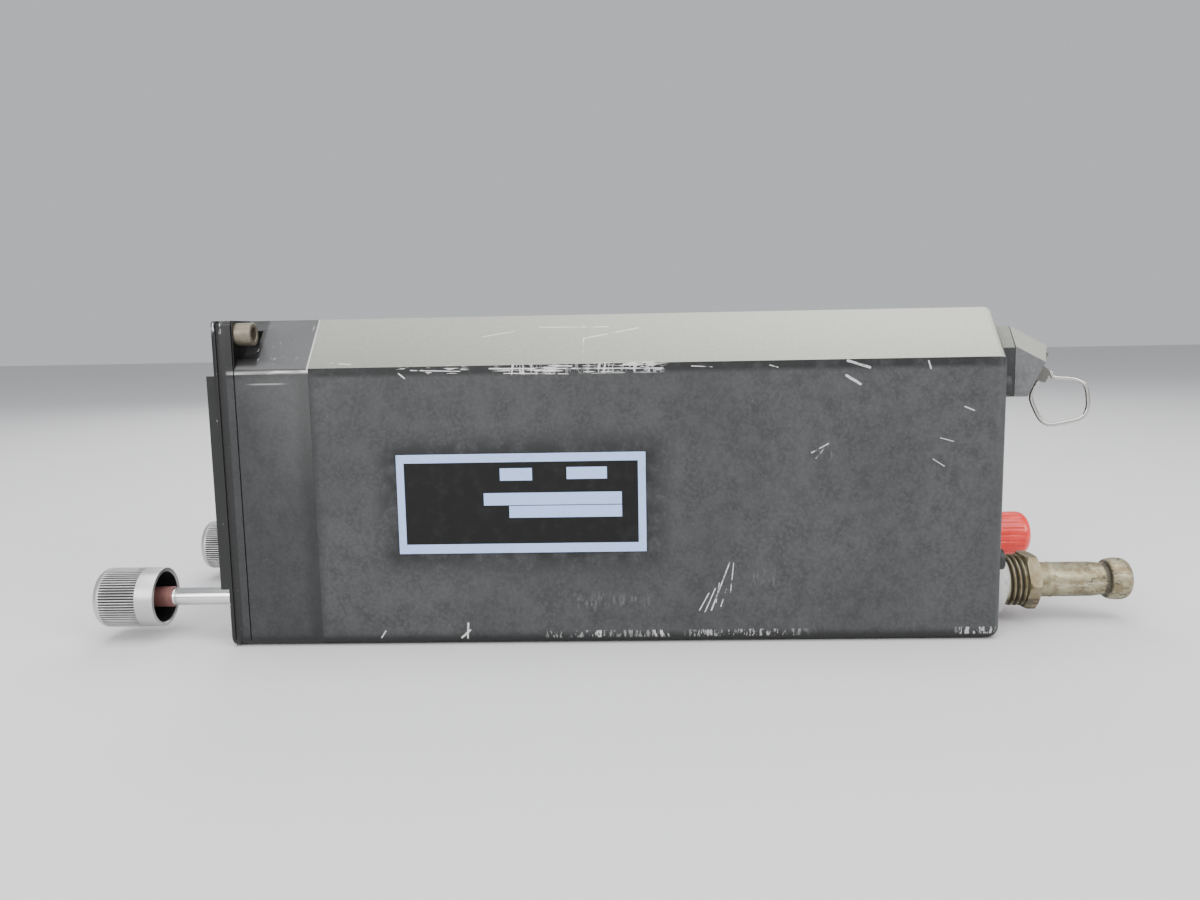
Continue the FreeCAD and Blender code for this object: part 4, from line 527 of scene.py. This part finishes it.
rearEnamel = {"topLightShare": 0.9, "recess": 0.0, "scuffs": 0.0, "roughness": 0.36, "specular": 0.5,
              "paintedShade": 0.0, "blackTo": 0.0, "wear": noWear}
enamels = {
    "sleeve": {"dark": 0.050, "paleOverlay": (0.320, 0.320, 0.278, 1), "topLightFar": (0.53, 0.53, 0.455, 1),
               "topLightShare": 0.95, "recess": 0.0, "scuffs": 0.4, "roughness": 0.38, "specular": 0.32,
               "paintedShade": 1.0, "blackTo": 1.0, "wear": sleeveWear},
    "casting": {"dark": 0.026, "paleOverlay": grey(0.075, -0.02), "topLightFar": grey(0.075, -0.02),
                "topLightShare": 0.80, "recess": 0.94, "scuffs": 0.0, "roughness": 0.27, "specular": 0.40,
                "paintedShade": 0.9, "blackTo": 3.2, "wear": castingWearAndHighlights},
    "hood": {**rearEnamel, "dark": 0.120, "paleOverlay": (0.36, 0.36, 0.31, 1), "topLightFar": (0.36, 0.36, 0.31, 1)},
    "base": {**rearEnamel, "dark": 0.020, "paleOverlay": (0.22, 0.22, 0.19, 1), "topLightFar": (0.22, 0.22, 0.19, 1)},
}

paints = {
    "sleeve": caseEnamel("sleeveEnamel", enamels["sleeve"]),
    "casting": caseEnamel("castingEnamel", enamels["casting"]),
    "hood": caseEnamel("hoodEnamel", enamels["hood"]),
    "base": caseEnamel("hoodBaseEnamel", enamels["base"]),
    "knob": knobMetal("knobAluminium"),
    "hub": metal("hubCopper", (0.22, 0.095, 0.085, 1), 0.42, stainShare=0.5, metallic=0.3),
    "shaft": metal("shaftSteel", (0.72, 0.72, 0.71, 1), 0.17, stainShare=0.0, relief=0.02, uneven=0.02),
    "oxide": metal("blackOxide", (0.035, 0.035, 0.036, 1), 0.40, metallic=0.4),
    "steel": metal("zincSteel", (0.60, 0.61, 0.62, 1), 0.34),
    "wire": metal("latchWire", (0.50, 0.49, 0.46, 1), 0.26, stainShare=0.15, uneven=0.05, relief=0.04),
    "bronze": metal("insertBronze", (0.19, 0.165, 0.125, 1), 0.42, metallic=0.7, stainShare=0.6),
    "brass": metal("gearBrass", (0.72, 0.54, 0.26, 1), 0.30),
    "aluminium": metal("plateAluminium", (0.66, 0.67, 0.68, 1), 0.36, stainShare=0.2),
    "gold": metal("contactGold", (0.83, 0.62, 0.25, 1), 0.22, stainShare=0.1),
    "fitting": platedFitting("yellowPlate"),
    "print": platePrint("platePrint"),
    "shell": shellSteel("shellSteel"),
    "cap": capPlastic("capRed"),
    "glass": windowGlass("windowGlass"),
    "rubber": rubber("gasketRubber", 0.016),
    "plastic": plainPaint("connectorBlue", (0.035, 0.10, 0.26, 1), 0.42),
    "board": plainPaint("boardGreen", (0.03, 0.16, 0.07, 1), 0.40),
    "dial": plainPaint("dialBlack", (0.012, 0.012, 0.014, 1), 0.60),
    "white": plainPaint("markingWhite", (0.80, 0.80, 0.74, 1), 0.55),
    "orange": plainPaint("bugOrange", (0.85, 0.22, 0.03, 1), 0.50),
    "yellow": plainPaint("pointerYellow", (0.86, 0.62, 0.06, 1), 0.50),
    "red": plainPaint("flagRed", (0.70, 0.05, 0.03, 1), 0.50),
}
print("materials made,", len(paints))


def linked(name, mesh, material, body):
    # an object of the mesh with one material, riding on a body
    piece = bpy.data.objects.new(name, mesh)
    bpy.context.scene.collection.objects.link(piece)
    mesh.materials.clear()
    mesh.materials.append(material)
    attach(piece, body)
    return piece


def gridPiece(name, grid, material, body, capU=False, sharp=35.0):
    # mesh over grids of points [u, v, xyz]; v joins its end to its start, capU closes the u ends
    grid = grid.reshape((-1,) + grid.shape[-3:])
    count, rows, columns, _ = grid.shape
    index = np.arange(count * rows * columns).reshape(count, rows, columns)
    uu, vv = np.meshgrid(np.arange(rows - 1), np.arange(columns), indexing="ij")
    nextU = uu + 1
    nextV = (vv + 1) % columns
    corners = [index[:, uu, vv], index[:, uu, nextV], index[:, nextU, nextV], index[:, nextU, vv]]
    faces = np.stack(corners, axis=-1).reshape(-1, 4).tolist()
    if capU:
        faces += index[:, 0, ::-1].tolist() + index[:, -1, :].tolist()
    mesh = bpy.data.meshes.new(name)
    mesh.from_pydata(grid.reshape(-1, 3).tolist(), [], faces)
    clean = bmesh.new()
    clean.from_mesh(mesh)
    bmesh.ops.remove_doubles(clean, verts=clean.verts, dist=1e-7)
    bmesh.ops.recalc_face_normals(clean, faces=clean.faces)
    clean.to_mesh(mesh)
    clean.free()
    mesh.shade_smooth()
    mesh.set_sharp_from_angle(angle=math.radians(sharp))
    return linked(name, mesh, material, body)


def turnedPiece(name, profile, material, body, centre, segments, radiusRule=None, capped=True):
    # a profile of (y, radius) in millimetres turned about an axis along Y; radiusRule may vary it with angle
    profile = np.array(profile, dtype=float)
    angle = np.linspace(0, 2 * math.pi, segments, endpoint=False)
    y = np.repeat(profile[:, :1], segments, axis=1)
    radius = np.repeat(profile[:, 1:2], segments, axis=1)
    turn = np.repeat(angle[None, :], len(profile), axis=0)
    if radiusRule is not None:
        radius = radiusRule(y, radius, turn)
    x = centre[0] + radius * np.sin(turn)
    z = centre[1] + radius * np.cos(turn)
    grid = np.stack([x, y, z], axis=-1) * mm
    return gridPiece(name, grid, material, body, capU=capped)


def quarter(y0, r0, y1, r1, count, outerFirst):
    # quarter ellipse between two profile points
    share = np.linspace(0, math.pi / 2, count)
    if outerFirst:
        return [(y0 + (y1 - y0) * math.sin(a), r1 + (r0 - r1) * math.cos(a)) for a in share]
    return [(y0 + (y1 - y0) * (1 - math.cos(a)), r0 + (r1 - r0) * math.sin(a)) for a in share]


def softened(node, name, material, width, segments=2):
    # copy of a CAD solid of the case with merged faces and slightly rounded edges
    mesh = nodes[node].data.copy()
    clean = bmesh.new()
    clean.from_mesh(mesh)
    bmesh.ops.remove_doubles(clean, verts=clean.verts, dist=2e-6)
    bmesh.ops.dissolve_limit(clean, angle_limit=math.radians(0.8), verts=clean.verts, edges=clean.edges)
    clean.to_mesh(mesh)
    clean.free()
    mesh.shade_smooth()
    mesh.set_sharp_from_angle(angle=math.radians(50))
    piece = linked(name, mesh, material, "case")
    rounding = piece.modifiers.new("rounding", "BEVEL")
    rounding.width = width * mm
    rounding.segments = segments
    rounding.limit_method = "ANGLE"
    rounding.angle_limit = math.radians(38)
    rounding.harden_normals = True
    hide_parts(node)
    return piece


def knobProfile():
    # flat end, rounded corner, plain cylinder and the hollow back, as (y, radius) from the front axis in
    look = knobLook
    outer = look["radius"]
    inner = outer - look["wall"]
    crown = look["crown"]
    front = look["front"]
    rim = look["rim"]
    profile = [(front, 0.001), (front, outer - crown - 0.6)]
    profile += quarter(front + 0.08, outer - crown, front + crown * 0.9, outer - 0.02, 12, False)
    profile += [(look["knurlEnd"], outer)]
    profile += [(y, outer) for y in np.linspace(look["knurlEnd"] + 0.3, look["band"] - 0.3, 6)]
    profile += [(look["band"], outer), (look["band"] + 0.15, outer - 0.02), (rim - 0.35, outer - 0.02),
                (rim - 0.1, outer - 0.1), (rim, outer - 0.3), (rim, inner + 0.25), (rim - 0.3, inner),
                (look["floor"] + 0.6, inner), (look["floor"], inner - 0.6), (look["floor"], 0.001)]
    return profile


def knurl(y, radius, turn):
    # radius less the flute depth, times a rounded wave round the knob, faded in at both ends
    look = knobLook
    fade = np.clip((y - look["knurlEnd"]) / 0.3, 0, 1) * np.clip((look["band"] - y) / 0.3, 0, 1)
    outside = radius > look["radius"] - 0.5
    wave = 0.5 - 0.5 * np.cos(turn * look["flutes"])
    return radius - look["fluteDepth"] * fade * outside * wave ** 1.3


def makeKnob(prefix, side):
    # knurled shell and plain hub; side is 1 for the right-hand knob, -1 for the left
    body = prefix + "_knob"
    spot = (side * knobLook["x"], knobLook["z"])
    shell = turnedPiece(prefix + "KnobShell", knobProfile(), paints["knob"], body, spot,
                        knobLook["flutes"] * 8, knurl)
    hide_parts(body)
    hub = knobLook["hubRadius"]
    outline = [(-33.5, 0.001), (-33.5, hub), (-19.9, hub), (-19.7, hub - 0.2), (-19.5, hub), (-19.1, hub),
               (-18.9, hub - 0.2), (-18.9, 0.001)]
    hubPiece = turnedPiece(prefix + "KnobHub", outline, paints["hub"], body, spot, 64)
    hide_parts(prefix + "_hub")


def makeShaft(prefix, side):
    # straight bar as long as the node, with one fine ring and a rounded end
    low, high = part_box(prefix + "_shaft")
    start = low[1] / mm
    end = high[1] / mm
    bar = knobLook["shaftRadius"]
    outline = [(start, 0.001), (start, bar), (-18.6, bar), (-18.4, bar - 0.03), (-18.2, bar),
               (end - 0.4, bar), (end, bar - 0.4), (end, 0.001)]
    piece = turnedPiece(prefix + "ShaftTurned", outline, paints["shaft"], prefix + "_knob",
                        (side * knobLook["x"], knobLook["z"]), 64)
    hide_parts(prefix + "_shaft")


makeKnob("heading", 1)
makeKnob("course", -1)
makeShaft("heading", 1)
makeShaft("course", -1)
print("knobs made")


def fittingProfile():
    # thread, hexagon, nipple with one fine ring, bead as a half wave, and the bore back to the start
    look = fittingLook
    nipple = look["nipple"]
    start = look["threadStart"]
    stop = look["threadEnd"]
    hexEnd = stop + look["hexLength"]
    profile = [(start, look["bore"]), (start, look["threadRadius"] - 0.5)]
    profile += [(y, look["threadRadius"]) for y in np.arange(start + 0.2, stop, 0.11)]
    profile += [(stop - 0.02, nipple + 0.6), (stop, nipple + 0.6)]
    profile += [(y, 9.0) for y in np.linspace(stop + 0.01, hexEnd - 0.01, 14)]
    profile += [(hexEnd, nipple + 0.5), (hexEnd + 0.3, nipple + 0.12), (hexEnd + 1.0, nipple)]
    profile += [(213.4, nipple), (213.6, nipple + 0.12), (213.9, nipple + 0.12), (214.1, nipple),
                (224.5, nipple), (227.6, nipple - 0.35), (228.2, nipple - 0.3)]
    length = look["end"] - look["beadStart"]
    for angle in np.linspace(0, math.pi, 22):
        y = look["beadStart"] + length * (1 - math.cos(angle)) / 2
        swell = nipple + (look["bead"] - nipple) * math.sin(angle) ** 0.8
        late = max(0.0, (angle - math.pi * 0.62) / (math.pi * 0.38))
        profile.append((y, swell - 1.15 * late ** 2))
    profile += [(look["end"], look["bore"] + 0.15), (look["end"] - 0.3, look["bore"]),
                (start + 1.0, look["bore"]), (start, look["bore"])]
    return profile


def fittingRule(y, radius, turn):
    # helical V thread, tapering to the front, then a chamfered hexagon with corners at the sides
    look = fittingLook
    hexEnd = look["threadEnd"] + look["hexLength"]
    thread = (y > look["threadStart"] + 0.1) & (y < look["threadEnd"] - 0.05) & (radius > 6.0)
    phase = (y / look["pitch"] - turn / (2 * math.pi)) % 1.0
    groove = 1 - np.abs(2 * phase - 1)
    groove = np.clip((groove - 0.18) / 0.64, 0, 1)
    taper = (look["threadEnd"] - y) * 0.02
    radius = np.where(thread, look["threadRadius"] - taper - look["threadDepth"] * (1 - groove), radius)
    hexagon = (y > look["threadEnd"] + 0.005) & (y < hexEnd - 0.005) & (radius > 8.0)
    flat = look["hexFlats"] / 2
    corner = (turn + math.pi / 6) % (math.pi / 3) - math.pi / 6
    sixSided = flat / np.cos(corner)
    edge = np.minimum(y - look["threadEnd"], hexEnd - y)
    chamfer = flat + 0.35 + edge * 1.6
    return np.where(hexagon, np.minimum(sixSided, chamfer), radius)


fitting = turnedPiece("hoseFittingTurned", fittingProfile(), paints["fitting"], "case",
                      (fittingLook["x"], fittingLook["z"]), 120, fittingRule, capped=False)
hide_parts("hose_fitting")


def capProfile():
    # hollow from its floor to the start, then the outside and a quarter ellipse to the flat end
    look = capLook
    outer = look["radius"]
    profile = [(look["floor"], 0.001), (look["floor"], look["inner"]), (look["start"], look["inner"]),
               (look["start"], outer - 0.3), (look["start"] + 0.3, outer)]
    profile += [(y, outer) for y in np.linspace(look["start"] + 1.4, look["end"] - look["dome"] - 0.6, 8)]
    profile += quarter(look["end"] - look["dome"], outer, look["end"], outer - look["dome"], 10, True)
    profile += [(look["end"], 3.0), (look["end"], 0.001)]
    return profile


def capRibs(y, radius, turn):
    # flutes round the cap, faded out before the plain rim and the dome
    look = capLook
    fade = np.clip((y - look["start"] - 1.4) / 0.8, 0, 1) * np.clip((look["end"] - 2.2 - y) / 1.4, 0, 1)
    outside = radius > look["radius"] - 0.9
    wave = np.clip(np.cos(turn * look["ribs"]) * 1.6 - 0.4, 0, 1)
    return radius - look["ribDepth"] * fade * outside * wave


cap = turnedPiece("portCapRibbed", capProfile(), paints["cap"], "case", (capLook["x"], capLook["z"]),
                  capLook["ribs"] * 10, capRibs)
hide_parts("port_cap")
print("fittings made")

latchLook = {
    "wire": 1.1, "faceAngle": 26.0, "passes": 3, "cut": 0.2, "wireSides": 14,
    "corners": [(0, 0.4), (0, 1.5), (2.0, 1.5), (3.0, 0.5), (8.2, 2.7), (11.7, 2.5), (14.8, -2.3),
                (15.0, -5.5), (8.3, -10.6), (5.3, -10.5), (1.1, -7.3), (0, -5.6), (0, -0.4)],
}


def roundedPath(corners, passes, share):
    # corner cutting: each pass swaps a corner for two points a share of the way along its sides
    path = np.array(corners, dtype=float)
    for _ in range(passes):
        before = path[:-1] * (1 - share) + path[1:] * share
        after = path[:-1] * share + path[1:] * (1 - share)
        inner = np.stack([before, after], axis=1).reshape(-1, 2)
        path = np.vstack([path[:1], inner, path[-1:]])
    return path


def latchPlane(label):
    # the latch's pivot, and the directions out of and up along the slanted face
    joint = next(item for item in frame["joints"] if item["child"] == "latch_bail_" + label)
    angle = math.radians(latchLook["faceAngle"])
    outward = np.array([0.0, math.cos(angle), -math.sin(angle)])
    upward = np.array([0.0, math.sin(angle), math.cos(angle)])
    return np.array(joint["pos_m"]) / mm, outward, upward


def makeLatch(label):
    # round wire carried along the path; the path is flat, so one binormal serves all of it
    pivot, outward, upward = latchPlane(label)
    path = roundedPath(latchLook["corners"], latchLook["passes"], latchLook["cut"])
    centre = pivot + path[:, :1] * outward + path[:, 1:] * upward
    along = np.gradient(centre, axis=0)
    along /= np.linalg.norm(along, axis=1)[:, None]
    across = np.array([1.0, 0.0, 0.0])
    normal = np.cross(along, across)
    turn = np.linspace(0, 2 * math.pi, latchLook["wireSides"], endpoint=False)
    ring = (np.cos(turn)[None, :, None] * across + np.sin(turn)[None, :, None] * normal[:, None, :])
    grid = (centre[:, None, :] + ring * latchLook["wire"] / 2) * mm
    piece = gridPiece("latchWire_" + label, grid, paints["wire"], "latch_bail_" + label, capU=True)
    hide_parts("latch_bail_" + label)


def taperEars(mesh):
    # the ears' tips keep a share of their height, so that each ear narrows to its bail
    pivot, outward, upward = latchPlane("right")
    points = np.zeros(len(mesh.vertices) * 3)
    mesh.vertices.foreach_get("co", points)
    points = points.reshape(-1, 3)
    offset = points / mm - pivot * np.array([0.0, 1.0, 1.0])
    tip = (np.abs(points[:, 0]) > earLook["side"] * mm) & (offset @ outward > earLook["outward"])
    lost = (offset @ upward) * (1 - earLook["height"]) * tip
    points = points - lost[:, None] * upward * mm
    mesh.vertices.foreach_set("co", points.ravel())
    mesh.update()


makeLatch("right")
makeLatch("left")

softened("sleeve", "sleeveSkin", paints["sleeve"], 0.55, 3)
softened("front_casting", "castingSkin", paints["casting"], 0.35)
softened("bezel", "bezelSkin", paints["casting"], 0.3)
softened("hood_base", "hoodBaseSkin", paints["base"], 0.25)
softened("connector_hood", "hoodSkin", paints["hood"], 0.45, 3)
softened("data_plate", "dataPlateSkin", paints["print"], 0.1)
softened("panel_inserts", "insertSkin", paints["bronze"], 0.25)
shellSkin = softened("connector_shell", "connectorShellSkin", paints["shell"], 0.15)
taperEars(shellSkin.data)
softened("capped_fitting", "cappedStub", paints["steel"], 0.2)
print("case softened")

# Screws: domed heads with a cross recess; slot and dome are shares of the head's radius

screwLook = {
    "slotWidth": 0.14, "slotReach": 0.66, "slotDepth": 0.30, "dome": 0.13,
    "bezelSpots": [(0, 38.2), (38.2, 0), (0, -38.2), (-38.2, 0)], "bezelHead": (1.7, 0.9),  # radius, height
    "sleeveSpots": [(36.4, 22), (36.4, -22), (-36.4, 22), (-36.4, -22)], "sleeveHead": (2.6, 1.8),
}


def screwHeads(name, node, spots, facing, head, material):
    # over a round grid, height is a shallow dome less a tapered cross; the last two rings close the back
    look = screwLook
    radius, thick = head
    rings = np.concatenate([np.linspace(0.001, 1, 26), [1.0, 0.001]])
    turn = np.linspace(0, 2 * math.pi, 64, endpoint=False)
    rr, tt = np.meshgrid(rings, turn, indexing="ij")
    x = rr * np.sin(tt)
    z = rr * np.cos(tt)
    narrow = np.minimum(np.abs(x), np.abs(z))
    wide = np.maximum(np.abs(x), np.abs(z))
    recess = np.clip((look["slotWidth"] - narrow) / 0.05, 0, 1)
    recess = recess * np.clip((look["slotReach"] - wide) / 0.08, 0, 1)
    height = radius * (look["dome"] * (1 - rr ** 2) - look["dome"] - look["slotDepth"] * recess)
    height[-2:] = -thick
    low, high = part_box(node)
    top = (low[1] if facing < 0 else high[1]) / mm
    shape = np.stack([x * radius, top + facing * height, z * radius], axis=-1)
    places = np.array([(spotX, 0.0, spotZ) for spotX, spotZ in spots])
    grid = (shape[None] + places[:, None, None, :]) * mm
    piece = gridPiece(name, grid, material, "case", capU=True, sharp=25.0)
    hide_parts(node)


screwHeads("bezelScrewHeads", "bezel_screws", screwLook["bezelSpots"], -1, screwLook["bezelHead"],
           paints["steel"])
screwHeads("sleeveScrewHeads", "sleeve_screws", screwLook["sleeveSpots"], 1, screwLook["sleeveHead"],
           paints["oxide"])
print("screws made")

# Dial markings: raised numerals and ticks, thin enough to read as print

dialLook = {
    "markLift": 0.05, "halfDepth": 0.02, "cardFace": 7.3, "discFace": 7.1, "maskFace": 4.6,
    "cardRadius": 27.6, "numeralHeight": 3.9, "numeralRadius": 21.9,
    "majorTick": (0.42, 2.6, 2.9),  # width, length, and its foot's distance from the rim
    "minorTick": (0.28, 1.5, 1.8),
    "numerals": ["N", "3", "6", "E", "12", "15", "S", "21", "24", "W", "30", "33"],
    "dots": (-8, -5.3, -2.65, 2.65, 5.3, 8), "dotRadius": 0.55, "dotCorners": 20,
    "index": (0.9, 2.2), "indexRadius": 29.4, "indexAngles": (45, 90, 135, 180, 225, 270, 315),
}


def textMesh(text, height):
    # points and faces of a short text, centred on the origin and raised a little
    curve = bpy.data.curves.new("numeral", "FONT")
    curve.body = text
    curve.size = height * mm
    curve.align_x = "CENTER"
    curve.align_y = "CENTER"
    curve.extrude = dialLook["halfDepth"] * mm
    holder = bpy.data.objects.new("numeral", curve)
    bpy.context.scene.collection.objects.link(holder)
    shape = bpy.data.meshes.new_from_object(holder.evaluated_get(bpy.context.evaluated_depsgraph_get()))
    points = np.zeros(len(shape.vertices) * 3)
    shape.vertices.foreach_get("co", points)
    corners = np.zeros(len(shape.loops), dtype=int)
    shape.loops.foreach_get("vertex_index", corners)
    starts = np.zeros(len(shape.polygons), dtype=int)
    shape.polygons.foreach_get("loop_start", starts)
    faces = [face.tolist() for face in np.split(corners, starts[1:])]
    bpy.data.objects.remove(holder)
    return points.reshape(-1, 3), faces


def dialMark(points, angle, radius, face):
    # flat artwork turned about the dial's centre, clockwise from the top as the pilot sees it
    turn = math.radians(angle)
    x = points[:, 0] / mm
    up = points[:, 1] / mm + radius
    lift = points[:, 2] / mm
    east = x * math.cos(turn) + up * math.sin(turn)
    north = -x * math.sin(turn) + up * math.cos(turn)
    return np.stack([east, face - dialLook["markLift"] - lift, north], axis=-1) * mm


def raised(outline):
    # a flat outline of (x, y) in millimetres as a thin prism: its lower corners, then its upper ones
    outline = np.array(outline, dtype=float)
    depth = dialLook["halfDepth"]
    layers = [np.column_stack([outline, np.full(len(outline), lift)]) for lift in (-depth, depth)]
    return np.vstack(layers) * mm


def prismFaces(count, first):
    # both ends and the sides of a prism with this many corners; the lower end's face begins at first
    lower = [(first - k) % count for k in range(count)]
    sides = [[k, (k + 1) % count, count + (k + 1) % count, count + k] for k in range(count)]
    return [lower, list(range(count, 2 * count))] + sides


tickFaces = prismFaces(4, 0)
dotFaces = prismFaces(dialLook["dotCorners"], dialLook["dotCorners"] - 1)


def tickPoints(width, length):
    # a bar that stands on the origin
    return raised([(-width / 2, 0), (width / 2, 0), (width / 2, length), (-width / 2, length)])


def dotPoints(offset):
    # a round dot at one side of the origin
    turn = np.linspace(0, 2 * math.pi, dialLook["dotCorners"], endpoint=False)
    return raised(np.stack([dialLook["dotRadius"] * np.cos(turn) + offset,
                            dialLook["dotRadius"] * np.sin(turn)], axis=-1))


def markings(name, items, material, body):
    # joins many small flat pieces of artwork into one mesh
    points = []
    faces = []
    for spots, shapes in items:
        start = len(points)
        points.extend(spots.tolist())
        faces.extend([[start + corner for corner in shape] for shape in shapes])
    mesh = bpy.data.meshes.new(name)
    mesh.from_pydata(points, [], faces)
    clean = bmesh.new()
    clean.from_mesh(mesh)
    bmesh.ops.recalc_face_normals(clean, faces=clean.faces)
    clean.to_mesh(mesh)
    clean.free()
    return linked(name, mesh, material, body)


cardItems = []
for step in range(72):
    width, length, inset = dialLook["minorTick" if step % 2 else "majorTick"]
    radius = dialLook["cardRadius"] - inset
    tick = dialMark(tickPoints(width, length), step * 5, radius, dialLook["cardFace"])
    cardItems.append((tick, tickFaces))
for number, label in enumerate(dialLook["numerals"]):
    points, faces = textMesh(label, dialLook["numeralHeight"])
    numeral = dialMark(points, number * 30, dialLook["numeralRadius"], dialLook["cardFace"])
    cardItems.append((numeral, faces))
markings("cardMarkings", cardItems, paints["white"], "card")

discItems = []
for offset in dialLook["dots"]:
    discItems.append((dialMark(dotPoints(offset), 0, 0, dialLook["discFace"]), dotFaces))
markings("courseDots", discItems, paints["white"], "course")

maskItems = []
for angle in dialLook["indexAngles"]:
    mark = dialMark(tickPoints(*dialLook["index"]), angle, dialLook["indexRadius"], dialLook["maskFace"])
    maskItems.append((mark, tickFaces))
markings("maskIndexes", maskItems, paints["white"], "case")
print("dial marked")

# CAD solids whose shape is right keep it and get their finish; casting is for the ones under the skins

finishes = {
    "rubber": ["bezel_gasket"],
    "steel": ["chassis_rods", "card_bearing", "air_tube"],
    "shaft": ["azimuth_shaft"],
    "bronze": ["heading_bushing", "course_bushing"],
    "glass": ["window_glass"],
    "dial": ["glass_ring", "dial_mask", "course_disc", "compass_card"],
    "white": ["aircraft_symbol", "glideslope_pointer_right", "glideslope_pointer_left"],
    "yellow": ["course_arrow", "deviation_bar"],
    "orange": ["heading_bug"],
    "red": ["heading_flag", "course_flag"],
    "aluminium": ["gear_plate", "rear_gear_plate", "gyro_frame", "bulkhead", "card_drum", "outer_gimbal",
                  "inner_gimbal"],
    "brass": ["card_gear", "bug_gear", "course_gear", "course_idler", "heading_pinion", "course_pinion",
              "azimuth_pinion", "azimuth_crown", "gyro_rotor"],
    "plastic": ["connector_block"],
    "gold": ["connector_contacts"],
    "board": ["circuit_board"],
    "casting": ["front_casting", "bezel", "sleeve", "hood_base", "connector_hood"],
}
for finish, members in finishes.items():
    for member in members:
        nodes[member].data.materials.clear()
        nodes[member].data.materials.append(paints[finish])

# Studio: pale floor, large soft lights, camera at the photograph's view

studio = {
    "floorZ": -41.55, "eye": (271.145, 102.208, 36.877),  # mm
    "floorSize": 6.0, "world": 0.60,
    "yaw": 0.0301, "pitch": 0.1247, "roll": -0.0190,  # radians
    "focalPixels": 936.37, "framePixels": 1200.0, "sensor": 36.0,
}

lights = {
    "overhead": {"spot": (0.15, 0.12, 0.75), "aim": (0, 0.1, 0), "size": (0.9, 0.9), "power": 10.0},
    "frontSoft": {"spot": (0.75, -0.25, 0.35), "aim": (0.03, 0.06, 0), "size": (0.6, 0.5), "power": 4.8},
    "rearSoft": {"spot": (0.45, 0.75, 0.40), "aim": (0.03, 0.15, 0), "size": (0.5, 0.4), "power": 4.0},
    "farSoft": {"spot": (-0.7, 0.0, 0.45), "aim": (0, 0.1, 0), "size": (0.6, 0.6), "power": 4.0},
}


def makeFloor():
    # one square face, just under the case
    half = studio["floorSize"] / 2
    level = studio["floorZ"] * mm
    mesh = bpy.data.meshes.new("floor")
    corners = [(-half, -half, level), (half, -half, level), (half, half, level), (-half, half, level)]
    mesh.from_pydata(corners, [], [(0, 1, 2, 3)])
    floor = bpy.data.objects.new("floor", mesh)
    bpy.context.scene.collection.objects.link(floor)
    shader = Shader("floorPale")
    soft = shader.noise(3.0, 2.0)
    mesh.materials.append(shader.finish(baseColor=shader.blend(soft, grey(0.62), grey(0.66)), roughness=0.7))


def areaLight(name, look):
    # a rectangle of light at its spot, facing its aim
    light = bpy.data.lights.new(name, "AREA")
    light.shape = "RECTANGLE"
    light.size, light.size_y = look["size"]
    light.energy = look["power"]
    holder = bpy.data.objects.new(name, light)
    bpy.context.scene.collection.objects.link(holder)
    holder.location = look["spot"]
    towards = Vector(look["aim"]) - Vector(look["spot"])
    holder.rotation_euler = towards.to_track_quat("-Z", "Y").to_euler()


def makeCamera():
    # forward, right and up worked out from yaw and pitch, then turned by the roll
    yaw = studio["yaw"]
    pitch = studio["pitch"]
    roll = studio["roll"]
    level = -math.cos(pitch)
    forward = np.array([level * math.cos(yaw), level * math.sin(yaw), -math.sin(pitch)])
    right = np.cross(forward, [0, 0, 1.0])
    right /= np.linalg.norm(right)
    up = np.cross(right, forward)
    rolledRight = math.cos(roll) * right + math.sin(roll) * up
    rolledUp = -math.sin(roll) * right + math.cos(roll) * up
    data = bpy.data.cameras.new("camera")
    data.sensor_width = studio["sensor"]
    data.lens = studio["sensor"] * studio["focalPixels"] / studio["framePixels"]
    data.clip_start = 0.01
    camera = bpy.data.objects.new("camera", data)
    bpy.context.scene.collection.objects.link(camera)
    turn = Matrix((rolledRight, rolledUp, -forward)).transposed().to_4x4()
    turn.translation = [value * mm for value in studio["eye"]]
    camera.matrix_world = turn
    bpy.context.scene.camera = camera


def makeWorld():
    # even, slightly cool light from all round
    world = bpy.data.worlds.new("studio")
    bpy.context.scene.world = world
    world.use_nodes = True
    background = world.node_tree.nodes["Background"]
    background.inputs["Color"].default_value = (0.93, 0.95, 1.0, 1)
    background.inputs["Strength"].default_value = studio["world"]


makeFloor()
makeWorld()
makeCamera()
for label, look in lights.items():
    areaLight(label, look)
print("studio set")
